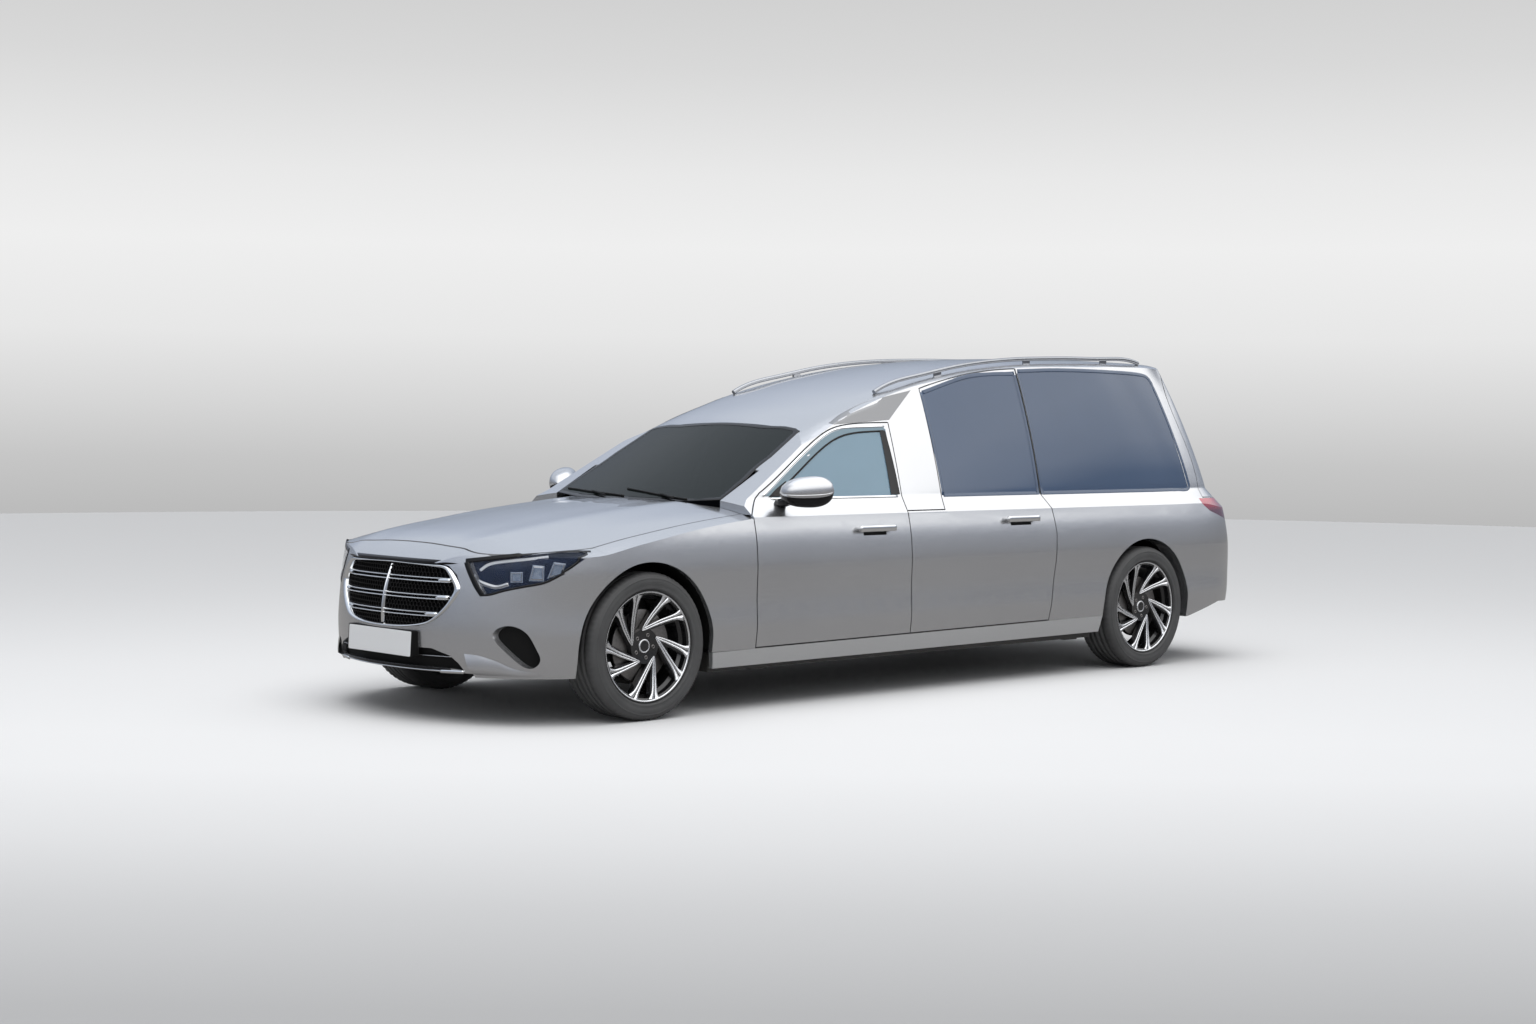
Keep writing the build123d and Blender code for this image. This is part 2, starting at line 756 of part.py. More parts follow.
lamp_back = front_axle + 200
inlet_back = front_axle + 440      # the corner inlets reach back to here

with BuildPart() as wing:
    add(nose_shell)
    with BuildSketch(Plane.XZ):
        with BuildLine():
            Polyline((cowl + shut_gap, sill_line(cowl) + seam), (cowl + shut_gap, 1100),
                     (front_axle + 262, 1100), (front_axle + 262, sill_top), close=True)
        make_face()
    extrude(amount=-1200, mode=Mode.INTERSECT)
    with BuildSketch(Plane.XZ):
        add(arch_outline(front_axle))
    extrude(amount=-1200, mode=Mode.SUBTRACT)
    with BuildSketch(Plane.XY):
        add(bonnet_outline(shut_gap))
    extrude(amount=1200, mode=Mode.SUBTRACT)
    with BuildSketch(Plane.XY):
        with Locations((cowl + 40, 320)):
            Rectangle(260, 680)
    extrude(amount=1200, mode=Mode.SUBTRACT)
    with BuildSketch(Plane.YZ.offset(lamp_back)):
        add(headlamp_outline(0.5))
    extrude(amount=900, mode=Mode.SUBTRACT)
print("wing", [round(s.volume / 1e6, 2) for s in wing.part.solids()])
with BuildPart() as front_wings:
    add(wing)
    add(opposite(wing.part))
keep(front_wings.part, "front_wings")

with BuildPart() as bonnet_half:
    add(nose_shell)
    with BuildSketch(Plane.XY.offset(500)):
        add(bonnet_outline())
    extrude(amount=800, mode=Mode.INTERSECT)
    with BuildSketch(Plane.YZ.offset(lamp_back)):
        add(headlamp_outline(shut_gap))
    extrude(amount=900, mode=Mode.SUBTRACT)
print("bonnet", [round(s.volume / 1e6, 2) for s in bonnet_half.part.solids()])
keep(both(bonnet_half.part), "bonnet")

with BuildPart() as front_bumper_half:
    add(nose_shell)
    with BuildSketch(Plane.XZ):
        add(bumper_half_space(-seam))
    extrude(amount=-1200, mode=Mode.INTERSECT)
    with BuildSketch(Plane.XZ):
        add(arch_outline(front_axle))
        with Locations((nose - 300, 100)):
            Rectangle(1600, 2 * (bumper_foot - 100))
    extrude(amount=-1200, mode=Mode.SUBTRACT)
    with BuildSketch(Plane.XY):
        add(bonnet_outline(shut_gap + 2))
    extrude(amount=1200, mode=Mode.SUBTRACT)
    with BuildSketch(Plane.YZ.offset(lamp_back)):
        add(headlamp_outline(0.5))
        add(grille_outline())
        add(intake_outline())
        with BuildLine():
            Polyline((-40, 100), (600, 100), (546, 242), (-40, 242), close=True)
        make_face()
    extrude(amount=900, mode=Mode.SUBTRACT)
    with BuildSketch(Plane.YZ.offset(inlet_back)):
        add(side_intake_outline())
    extrude(amount=600, mode=Mode.SUBTRACT)
print("front bumper", [round(s.volume / 1e6, 2) for s in front_bumper_half.part.solids()])
keep(both(front_bumper_half.part), "front_bumper")

# headlamps: clear cover flush with the skin, black housing behind it
nose_under_lens = nose_core(4, 4)
lens_shell = wall(nose_outer, nose_under_lens)
nose_room = nose_core(wing_wall + 0.4, bonnet_wall + 0.4)
backing_shell = wall(nose_room, nose_core(wing_wall + 22, bonnet_wall + 22))
proud_shell = wall(nose_core(-5, -5), nose_inner)
slat_shell = wall(nose_under_lens, nose_inner)


def front_piece(shell, outline, back=lamp_back):
    """Part of a nose shell inside a front-view outline, ahead of the plane at back."""
    with BuildPart() as piece:
        add(shell)
        with BuildSketch(Plane.YZ.offset(back)):
            add(outline)
        extrude(amount=900, mode=Mode.INTERSECT)
    return piece.part


lens = front_piece(lens_shell, headlamp_outline())
housing = front_piece(backing_shell, headlamp_outline(0.3))
for piece, label in ((lens, "headlamp_covers"), (housing, "headlamp_housings")):
    with BuildPart() as pair:
        add(piece)
        add(opposite(piece))
    keep(pair.part, label)
    print(label, [round(s.volume / 1e6, 2) for s in pair.part.solids()])

# radiator grille: bright frame, three double slats and a centre bar
with BuildSketch() as grille_bars:
    for height in (540, 602, 666):
        with Locations((220, height + 10), (220, height - 10)):
            Rectangle(520, 9)
    with Locations((0, 598)):
        Rectangle(13, 320)
    add(grille_outline(-10), mode=Mode.INTERSECT)
with BuildSketch() as grille_ring:
    add(grille_outline(-0.4))
    add(grille_outline(-18), mode=Mode.SUBTRACT)
with BuildPart() as grille_half:
    add(front_piece(proud_shell, grille_ring.sketch))
    add(front_piece(slat_shell, grille_bars.sketch))
    with BuildSketch(Plane.XY):
        with Locations((front_axle, 0)):
            Rectangle(3000, 3000, align=(Align.CENTER, Align.MIN))
    extrude(amount=1500, mode=Mode.INTERSECT)
keep(both(grille_half.part), "radiator_grille")
print("grille", [round(s.volume / 1e6, 2) for s in grille_half.part.solids()])

with BuildPart() as grille_backing:
    add(both(front_piece(backing_shell, grille_outline(2))))
    add(both(front_piece(backing_shell, intake_outline(8))))
    inlet = front_piece(backing_shell, side_intake_outline(6), inlet_back)
    add(inlet)
    add(opposite(inlet))
keep(grille_backing.part, "lower_grille")
print("backing", [round(s.volume / 1e6, 2) for s in grille_backing.part.solids()])


# ---------------------------------------------------------------- windscreen and cowl
def sheet(height, top, bottom, outline, start, end):
    """Slice of even depth under a height skin, cut to a plan outline."""
    with BuildPart() as slice_half:
        with BuildSketch(Plane.XY.offset(700)):
            add(outline)
        extrude(amount=1200)
        with BuildSketch(Plane.XZ):
            with Locations(((start + end) / 2, 1300)):
                Rectangle(abs(start - end) + 400, 1400)
        extrude(amount=-1300, mode=Mode.INTERSECT)
        split(bisect_by=height_skin(height, top, start, end, 14), keep=Keep.TOP)
        split(bisect_by=height_skin(height, bottom, start, end, 14), keep=Keep.BOTTOM)
    return slice_half.part


screen_half = sheet(screen_height, 0.5, 0.5 + glass_wall, screen_outline(), screen_base + 300, header - 300)
keep(both(screen_half), "windscreen")

with BuildSketch() as cowl_outline:
    with BuildLine():
        Spline((screen_base + 34, -40), (screen_base + 4, 380), (cowl + 2, 659.5))
        Line((cowl + 2, 659.5), (cowl - 60, 659.5))
        Spline((cowl - 60, 659.5), (screen_base - 62, 340), (screen_base - 40, -40))
        Line((screen_base - 40, -40), (screen_base + 34, -40))
    make_face()
cowl_half = sheet(bonnet_height, 44, 56, cowl_outline.sketch, screen_base + 300, header - 300)
keep(both(cowl_half), "cowl")

# ---------------------------------------------------------------- underbody
floor_foot = 196
floor_top = 226
jack_foot = 186
cabin_half = half_width - 80.4
bay_half = 455

with BuildPart() as floor_pan:
    with BuildSketch(Plane.XY.offset(floor_foot)):
        with BuildLine():
            Polyline((front_axle - 430, -cabin_half), (front_axle - 430, cabin_half),
                     (rear_axle + 430, cabin_half), (rear_axle + 430, -cabin_half), close=True)
        make_face()
    extrude(amount=floor_top - floor_foot)
    with BuildSketch(Plane.XY.offset(floor_top)):
        with Locations(((front_axle - 430 + rear_axle + 430) / 2, cabin_half - 45),
                       ((front_axle - 430 + rear_axle + 430) / 2, -cabin_half + 45)):
            Rectangle(front_axle - rear_axle - 860, 90)
    extrude(amount=sill_top - floor_top - 10)
    with BuildSketch(Plane.XY.offset(jack_foot)):
        with Locations((front_axle - 800, 800), (front_axle - 800, -800),
                       (rear_axle + 560, 800), (rear_axle + 560, -800)):
            RectangleRounded(120, 60, 12)
    extrude(amount=floor_foot - jack_foot)             # jacking pads
    with BuildSketch(Plane.YZ.offset(rear_axle + 430)):
        with Locations((0, floor_foot)):
            Rectangle(260, 150, align=(Align.CENTER, Align.MIN))
    extrude(amount=cowl - rear_axle - 430 - 100)     # tunnel
    with BuildSketch(Plane.YZ.offset(rear_axle + 430 - 1)):
        with Locations((0, floor_foot - 1)):
            Rectangle(220, 131, align=(Align.CENTER, Align.MIN))
    extrude(amount=cowl - rear_axle - 430 + 200, mode=Mode.SUBTRACT)
    with BuildSketch(Plane.XY.offset(475)):
        with Locations(((rear_axle + 430 + tail + 163) / 2, 0)):
            Rectangle(rear_axle + 430 - tail - 163, 1280)
    extrude(amount=24)
    with BuildSketch(Plane.YZ.offset(rear_axle + 430)):
        with Locations((0, floor_foot)):
            Rectangle(1280, 499 - floor_foot, align=(Align.CENTER, Align.MIN))
        with Locations((0, floor_foot)):
            Rectangle(220, 131, align=(Align.CENTER, Align.MIN), mode=Mode.SUBTRACT)
    extrude(amount=30)
print("floor", [round(s.volume / 1e6, 2) for s in floor_pan.part.solids()])
keep(floor_pan.part, "floor_pan")

with BuildPart() as sills:
    add(sill)
    add(opposite(sill.part))
keep(sills.part, "sills")


def liner(axle, inner, outer):
    """Half-round shell over a wheel."""
    with BuildPart() as shell:
        with BuildSketch(Plane.XZ.offset(-inner)):
            with Locations((axle, axle_height)):
                Circle(arch_radius + 6)
                Circle(arch_radius, mode=Mode.SUBTRACT)
            with Locations((axle, axle_height - 40)):
                Rectangle(1200, 900, align=(Align.CENTER, Align.MAX), mode=Mode.SUBTRACT)
        extrude(amount=-(outer - inner))
    return shell.part


with BuildPart() as front_liner:
    add(liner(front_axle, bay_half + 12, half_width))
    add(nose_room, mode=Mode.INTERSECT)
with BuildPart() as wheel_arch_liners:
    for arch in (front_liner.part, liner(rear_axle, 646, half_width - body_wall - 12.4)):
        add(arch)
        add(opposite(arch))
keep(wheel_arch_liners.part, "wheel_arch_liners")

with BuildPart() as bulkhead:                       # left half, up to the cowl panel
    with BuildSketch(Plane.YZ.offset(front_axle - 700)):
        with BuildLine():
            Polyline((0, 1000), (645, 1000), (645, floor_top + 0.3), (140, floor_top + 0.3),
                     (140, floor_top + 180), (0, floor_top + 180), close=True)
        make_face()
    extrude(amount=20)
    split(bisect_by=height_skin(bonnet_height, 56.3, screen_base + 300, header - 300, 14), keep=Keep.TOP)

with BuildPart() as front_subframe:
    for side in (-1, 1):
        with BuildSketch(Plane.YZ.offset(front_axle - 700)):
            with Locations((side * (bay_half - 30), 500)):
                Rectangle(60, 110)
        extrude(amount=1400)
        with BuildSketch(Plane.XY.offset(230)):
            with Locations((front_axle, side * (bay_half - 35))):
                Rectangle(420, 70)
        extrude(amount=60)
        with BuildSketch(Plane.XY.offset(285)):
            with Locations((front_axle + 160, side * (bay_half - 35)),
                           (front_axle - 160, side * (bay_half - 35))):
                Rectangle(60, 60)
        extrude(amount=170)
    with BuildSketch(Plane.XY.offset(230)):
        with Locations((front_axle + 180, 0), (front_axle - 180, 0)):
            Rectangle(60, 2 * bay_half)
    extrude(amount=50)
    with BuildSketch(Plane.XY.offset(455)):
        with Locations((front_axle + 675, 0)):
            Rectangle(50, 1040)
    extrude(amount=90)
    add(bulkhead)
    add(opposite(bulkhead.part))
print("subframe", [round(s.volume / 1e6, 2) for s in front_subframe.part.solids()])

with BuildPart() as engine:
    with BuildSketch(Plane.XY.offset(280.3)):
        with Locations((front_axle - 60, 0)):
            Rectangle(760, 520)
    extrude(amount=440)
    chamfer(engine.edges().filter_by(Axis.X).group_by(Axis.Z)[-1], 60)
    with BuildSketch(Plane.YZ.offset(front_axle - 430)):
        with Locations((0, 380)):
            Circle(110)
    extrude(amount=-230)
keep(engine.part, "engine")

# ---------------------------------------------------------------- cabin
with BuildPart() as dashboard:
    with BuildSketch(Plane.XZ.offset(-780)):
        with BuildLine():
            Polyline((front_axle - 700.4, 560), (front_axle - 700.4, 880), (front_axle - 770, 900),
                     (front_axle - 800, 955),
                     (front_axle - 1000, 952), (front_axle - 1080, 925), (front_axle - 1070, 820),
                     (front_axle - 960, 700), (front_axle - 860, 560), close=True)
        make_face()
    extrude(amount=1560)
keep(dashboard.part, "dashboard")

wheel_hub = (front_axle - 1190, 370, 905)      # centre of the steering wheel
column = Plane(origin=wheel_hub, x_dir=(0, 1, 0), z_dir=(-cos(radians(25)), 0, sin(radians(25))))

with BuildPart() as steering_wheel:
    with BuildSketch(Plane(origin=wheel_hub, x_dir=(0, 1, 0), z_dir=(sin(radians(25)), 0, cos(radians(25))))):
        with Locations((172, 0)):
            Circle(15)
    revolve(axis=Axis(wheel_hub, (-cos(radians(25)), 0, sin(radians(25)))))
    with BuildSketch(column.offset(-14)):
        RectangleRounded(130, 110, 30)
        with Locations((-100, 5), (100, 5)):
            Rectangle(120, 34)
        with Locations((0, 95)):
            Rectangle(46, 120)
    extrude(amount=22)
    with BuildSketch(column.offset(-14)):
        Circle(18)
    extrude(amount=-70.7)
print("steering wheel", [round(s.volume / 1e6, 3) for s in steering_wheel.part.solids()])
keep(steering_wheel.part, "steering_wheel")

with BuildPart() as steering_column:
    with BuildSketch(column.offset(-85)):
        Circle(38)
    extrude(amount=-60)
    add(dashboard.part, mode=Mode.SUBTRACT)
keep(steering_column.part, "steering_column")

seat_x = front_axle - 1480
with BuildPart() as seat_bases:
    with BuildSketch(Plane.XY.offset(floor_top)):
        with Locations((seat_x, 400), (seat_x, -400)):
            Rectangle(440, 420)
    extrude(amount=150)
    with BuildSketch(Plane.XY.offset(floor_top)):
        with Locations((seat_x - 300, 400), (seat_x - 300, -400)):
            Rectangle(130, 420)
    extrude(amount=190.7)
keep(seat_bases.part, "seat_bases")

with BuildPart() as seat_cushions:
    with BuildSketch(Plane.XY.offset(floor_top + 150.3)):
        with Locations((seat_x + 30, 400), (seat_x + 30, -400)):
            RectangleRounded(520, 520, 60)
    extrude(amount=150)
    fillet(seat_cushions.edges().group_by(Axis.Z)[-1], 40)
keep(seat_cushions.part, "seat_cushions")

back_plane = Plane(origin=(seat_x - 300, 0, floor_top + 210), x_dir=(0, 1, 0),
                   z_dir=(-sin(radians(20)), 0, cos(radians(20))))
with BuildPart() as seat_backs:
    with BuildSketch(back_plane):
        with Locations((400, 0), (-400, 0)):
            RectangleRounded(500, 110, 40)
    extrude(amount=600)
    with BuildSketch(back_plane.offset(560)):
        with Locations((400, 0), (-400, 0)):
            RectangleRounded(230, 80, 30)
    extrude(amount=190)
print("backs", [round(s.volume / 1e6, 2) for s in seat_backs.part.solids()])
keep(seat_backs.part, "seat_backs")

partition_x = front_axle - 2095
with BuildPart() as partition:
    with BuildSketch(Plane.YZ.offset(partition_x)):
        with BuildLine():
            Polyline((-760, floor_top + 0.3), (-780, 960), (-700, 1120), (700, 1120), (780, 960),
                     (760, floor_top + 0.3), close=True)
        make_face()
        with Locations((0, floor_top)):
            Rectangle(261, 121, align=(Align.CENTER, Align.MIN), mode=Mode.SUBTRACT)
    extrude(amount=20)
keep(partition.part, "partition")

deck_front = partition_x - 0.5
deck_half = 590
with BuildPart() as coffin_deck:
    deck_length = deck_front - (tail + 190)
    deck_middle = (deck_front + tail + 190) / 2
    with BuildSketch(Plane.XY.offset(deck_height - 24)):
        with Locations((deck_middle, 0)):
            Rectangle(deck_length, 2 * deck_half)
    extrude(amount=24)
    with BuildSketch(Plane.XY.offset(deck_height)):
        with Locations((deck_middle - 20, 250), (deck_middle - 20, -250)):
            Rectangle(deck_length - 120, 36)
    extrude(amount=12)
    with BuildSketch(Plane.XY.offset(floor_top)):
        with Locations((deck_front - 15, 0), (rear_axle + 480, 0)):
            Rectangle(30, 2 * deck_half)
        with Locations((deck_front - 15, 0), (rear_axle + 480, 0)):
            Rectangle(30, 261, mode=Mode.SUBTRACT)
    extrude(amount=deck_height - 24 - floor_top)
    with BuildSketch(Plane.XY.offset(499.3)):
        with Locations((tail + 260, 0)):
            Rectangle(30, 2 * deck_half)
    extrude(amount=deck_height - 24 - 499.3)
print("deck", [round(s.volume / 1e6, 2) for s in coffin_deck.part.solids()])
keep(coffin_deck.part, "coffin_deck")

# ---------------------------------------------------------------- roof rails and mirrors
rail_y = 560
rail_front = header - 560
rail_rear = rear_axle - 365


def rail_point(x, up):
    return (x, rail_y, roof_height(x, rail_y) + up)


with BuildPart() as rail:
    with BuildLine() as rail_line:
        stations = levels(rail_front - 80, rail_rear + 80, 8)
        Spline(rail_point(rail_front, 10), *(rail_point(x, 24) for x in stations), rail_point(rail_rear, 10))
    with BuildSketch(Plane(origin=rail_line.line @ 0, z_dir=rail_line.line % 0)):
        Circle(12)
    sweep()
    for x in (rail_front - 500, rail_front - 1250, rail_front - 1950):
        with BuildSketch(Plane.XY.offset(roof_height(x, rail_y) - 40)):
            with Locations((x, rail_y)):
                SlotOverall(60, 14)
        extrude(amount=62)
    add(cabin_outer, mode=Mode.SUBTRACT)
print("rail", [round(s.volume / 1e6, 3) for s in rail.part.solids()])
with BuildPart() as roof_rails:
    add(rail)
    add(opposite(rail.part))
keep(roof_rails.part, "roof_rails")

with BuildPart() as mirror_left:
    for height, share in ((1008, 0.8), (1032, 1), (1116, 1), (1146, 0.78)):
        with BuildSketch(Plane(origin=(cowl - 290, half_width + 35, height))):
            with BuildLine():
                Spline((112, -70), (85, -15), (0, 65), (-80, 89), (-115, 77), (-95, 35), (-20, -45),
                       (50, -82), periodic=True)
            make_face()
            scale(by=share)
    loft(ruled=True)
    with BuildSketch(Plane.YZ.offset(cowl - 270)):
        with BuildLine():
            Polyline((half_width - 118, 982), (half_width - 20, 1011), (half_width - 20, 1040),
                     (half_width - 126, 1006), close=True)
        make_face()
    extrude(amount=70)
    add(cabin_outer, mode=Mode.SUBTRACT)
print("mirror", [round(s.volume / 1e6, 3) for s in mirror_left.part.solids()])
keep(mirror_left.part, "mirror_left")
keep(opposite(mirror_left.part), "mirror_right")

# ---------------------------------------------------------------- running gear
pivot_y = track / 2 - 27
hub_bore = 30
wheel_face = 108           # rim edge outboard of the wheel centre


def wheel_plane(offset):
    """Plane square to the axle, seen from outside: x to the right, y up."""
    return Plane(origin=(0, offset, 0), x_dir=(-1, 0, 0), z_dir=(0, 1, 0))


def on_circle(radius, angle):
    return (radius * cos(radians(angle)), radius * sin(radians(angle)))


rim_half_profile = ((268, 108), (268, 101), (256, 99), (254, 95), (254, 62), (240, 50))
rim_bore_profile = ((232, 54), (246, 66), (246, 97), (262, 108))


def flipped(points):
    return tuple((r, -y) for r, y in reversed(points))


with BuildPart() as spokes:     # five pairs of swept spokes, dished face
    with BuildSketch(wheel_plane(30)):
        for turn in range(5):
            root = 102 - 72 * turn
            for sweep_angle, tip_width in ((39, 44), (68.5, 40)):
                ax, ay = on_circle(76, root)
                bx, by = on_circle(250, root - sweep_angle)
                run = hypot(bx - ax, by - ay)
                ex, ey = (ay - by) / run, (bx - ax) / run
                with BuildLine():
                    Polyline((ax + 9 * ex, ay + 9 * ey),
                             (bx + tip_width / 2 * ex, by + tip_width / 2 * ey),
                             (bx - tip_width / 2 * ex, by - tip_width / 2 * ey),
                             (ax - 9 * ex, ay - 9 * ey), close=True)
                make_face()
        Circle(84)
    extrude(amount=90)
    with BuildSketch(Plane.XY):
        with BuildLine():
            Polyline((0, 50), (0, 70), (50, 74), (150, 84), (236, 99), (247, 101), (247, 72),
                     (150, 56), (60, 48), close=True)
        make_face()
    revolve(axis=Axis.Y, mode=Mode.INTERSECT)

with BuildPart() as wheel:
    with BuildSketch(Plane.XY):                     # barrel, x is the radius
        with BuildLine():
            Polyline(*rim_half_profile, *flipped(rim_half_profile), *flipped(rim_bore_profile),
                     *rim_bore_profile, close=True)
        make_face()
    revolve(axis=Axis.Y)
    add(spokes)
    with BuildSketch(wheel_plane(18)):              # hub and brake disc
        Circle(80)
    extrude(amount=36)
    with BuildSketch(wheel_plane(20)):
        Circle(175)
    extrude(amount=26)
    with BuildSketch(wheel_plane(60)):
        Circle(32)
    extrude(amount=16)
    with BuildSketch(wheel_plane(0)):
        Circle(hub_bore + 0.3)
    extrude(amount=60, mode=Mode.SUBTRACT)
print("wheel", [round(s.volume / 1e6, 3) for s in wheel.part.solids()])

with BuildPart() as tyre:
    with BuildSketch(Plane.XY):
        with BuildLine():
            tread_edge = (tyre_radius, 88)
            wall_out = (tread_edge, (346, 106), (330, 118), (305, tyre_width / 2), (282, 117), (270, 103))
            bead = ((270, 103), (268.4, 100.6), (256.4, 98.6), (254.4, 94), (254.4, 72))
            wall_in = ((254.4, 72), (285, 100), (312, 108), (334, 92), (340, 60))
            Spline(*wall_out)
            Polyline(*bead)
            Spline(*wall_in)
            Line((340, 60), (340, 0))
            Line((340, 0), (tyre_radius, 0))
            Line((tyre_radius, 0), tread_edge)
        make_face()
        mirror(about=Plane.XZ)
    revolve(axis=Axis.Y)
print("tyre", [round(s.volume / 1e6, 3) for s in tyre.part.solids()])


def placed(part, x, y, side):
    """A wheel piece moved to its axle, turned over for the right-hand side."""
    piece = part if side == "left" else opposite(part)
    return Location((x, y if side == "left" else -y, axle_height)) * piece


for end, axle in (("front", front_axle), ("rear", rear_axle)):
    for side in ("left", "right"):
        keep(placed(wheel.part, axle, track / 2, side), f"wheel_{end}_{side}")
        keep(placed(tyre.part, axle, track / 2, side), f"tyre_{end}_{side}")

pin_radius = 12
lower_joint, upper_joint = 190, 508             # heights of the arm faces that meet the knuckle

with BuildPart() as knuckle:
    with BuildSketch(Plane.XZ.offset(-(pivot_y - 25))):
        with BuildLine():
            Polyline((front_axle - 30, lower_joint + 6), (front_axle + 30, lower_joint + 6),
                     (front_axle + 55, axle_height), (front_axle + 24, upper_joint - 6),
                     (front_axle - 24, upper_joint - 6), (front_axle - 55, axle_height), close=True)
        make_face()
    extrude(amount=-46)
    with BuildSketch(Plane.XZ.offset(-(pivot_y + 20))):
        with Locations((front_axle, axle_height)):
            Circle(hub_bore)
    extrude(amount=-(track / 2 + 58 - pivot_y - 20))
    with BuildSketch(Plane.XY.offset(lower_joint - 25)):
        with Locations((front_axle, pivot_y)):
            Circle(pin_radius)
    extrude(amount=upper_joint - lower_joint + 50)
print("knuckle", [round(s.volume / 1e6, 3) for s in knuckle.part.solids()])
keep(knuckle.part, "knuckle_left")
keep(opposite(knuckle.part), "knuckle_right")

with BuildPart() as arms:
    with BuildSketch(Plane.YZ.offset(front_axle - 22)):
        with BuildLine():
            Polyline((bay_half - 40, 236), (bay_half - 40, 280), (620, lower_joint), (pivot_y + 18, lower_joint),
                     (pivot_y + 18, lower_joint - 24), (600, lower_joint - 24), close=True)
        make_face()
        with BuildLine():
            Polyline((bay_half - 30, 470), (bay_half - 30, 520), (620, upper_joint + 24),
                     (pivot_y + 18, upper_joint + 24), (pivot_y + 18, upper_joint), (620, upper_joint),
                     close=True)
        make_face()
    extrude(amount=44)
    with BuildSketch(Plane.XY.offset(100)):
        with Locations((front_axle, pivot_y)):
            Circle(pin_radius + 0.3)
    extrude(amount=600, mode=Mode.SUBTRACT)
with BuildPart() as front_frame:
    add(front_subframe)
    add(arms)
    add(opposite(arms.part))
print("front frame", [round(s.volume / 1e6, 3) for s in front_frame.part.solids()])
keep(front_frame.part, "front_subframe")

shaft_height = 290
with BuildPart() as rear_axle_carrier:
    with BuildSketch(Plane.XZ):
        with Locations((rear_axle, axle_height)):
            Circle(105)
    extrude(amount=110, both=True)
    with BuildSketch(Plane.XZ):
        with Locations((rear_axle, axle_height)):
            Circle(42)
    extrude(amount=track / 2 - 90, both=True)
    with BuildSketch(Plane.XZ):
        with Locations((rear_axle, axle_height)):
            Circle(hub_bore)
    extrude(amount=track / 2 + 58, both=True)
    with BuildSketch(Plane.YZ.offset(rear_axle + 60)):
        with Locations((0, shaft_height + 20)):
            Circle(52)
    extrude(amount=140)
    with BuildSketch(Plane.YZ.offset(rear_axle)):
        with Locations((480, axle_height), (-480, axle_height)):
            Rectangle(60, 50)
    extrude(amount=429.7)
    with BuildSketch(Plane.YZ.offset(rear_axle + 200.3)):
        with Locations((0, shaft_height)):
            Circle(28)
    extrude(amount=front_axle - 660.3 - rear_axle - 200.3)
print("rear axle", [round(s.volume / 1e6, 3) for s in rear_axle_carrier.part.solids()])
keep(rear_axle_carrier.part, "rear_axle_carrier")

with BuildPart() as exhaust:
    with BuildSketch(Plane.YZ.offset(tail + 420)):
        with Locations((330, 166)):
            Circle(26)
    extrude(amount=front_axle - 480 - tail - 420)
    with BuildSketch(Plane.XY.offset(160)):
        with Locations((tail + 450, 330)):
            Circle(26)
    extrude(amount=150)                                # riser into the silencer
    with BuildSketch(Plane.XY.offset(290)):
        with Locations((tail + 370, 380)):
            RectangleRounded(260, 420, 50)
    extrude(amount=140)
    with BuildSketch(Plane.XY.offset(420)):
        with Locations((tail + 350, 300), (tail + 350, 480)):
            Circle(9)
    extrude(amount=474.7 - 420)
    with BuildSketch(Plane.XY.offset(180)):
        with Locations((front_axle - 900, 330), (rear_axle + 700, 330)):
            Circle(8)
    extrude(amount=floor_foot - 0.3 - 180)
print("exhaust", [round(s.volume / 1e6, 3) for s in exhaust.part.solids()])
keep(exhaust.part, "exhaust")
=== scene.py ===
"""Looks of a long-wheelbase hearse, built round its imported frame. Metres, X forward, Y left, Z up."""
import math

import bmesh
import bpy
from mathutils import Matrix, Vector
from mathutils.bvhtree import BVHTree


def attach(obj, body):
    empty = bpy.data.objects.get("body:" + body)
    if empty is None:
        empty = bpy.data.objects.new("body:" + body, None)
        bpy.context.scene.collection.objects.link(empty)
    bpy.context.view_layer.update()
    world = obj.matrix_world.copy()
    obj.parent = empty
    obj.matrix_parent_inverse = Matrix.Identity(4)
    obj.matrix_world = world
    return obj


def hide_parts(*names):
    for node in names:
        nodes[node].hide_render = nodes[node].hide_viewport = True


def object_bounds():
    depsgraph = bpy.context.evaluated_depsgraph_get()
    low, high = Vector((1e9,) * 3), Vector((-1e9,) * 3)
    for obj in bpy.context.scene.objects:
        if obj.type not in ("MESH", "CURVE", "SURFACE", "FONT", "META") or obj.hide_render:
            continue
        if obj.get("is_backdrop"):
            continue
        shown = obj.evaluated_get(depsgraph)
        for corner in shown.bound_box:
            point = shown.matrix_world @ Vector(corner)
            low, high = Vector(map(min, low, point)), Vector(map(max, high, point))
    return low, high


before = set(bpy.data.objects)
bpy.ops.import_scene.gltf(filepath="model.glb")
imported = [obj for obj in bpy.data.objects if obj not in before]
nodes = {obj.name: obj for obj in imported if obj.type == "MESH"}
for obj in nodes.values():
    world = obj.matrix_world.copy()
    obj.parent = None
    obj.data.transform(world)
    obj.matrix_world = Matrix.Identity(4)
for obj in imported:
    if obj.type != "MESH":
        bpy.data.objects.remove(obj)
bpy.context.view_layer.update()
SIDES = (("left", 1), ("right", -1))

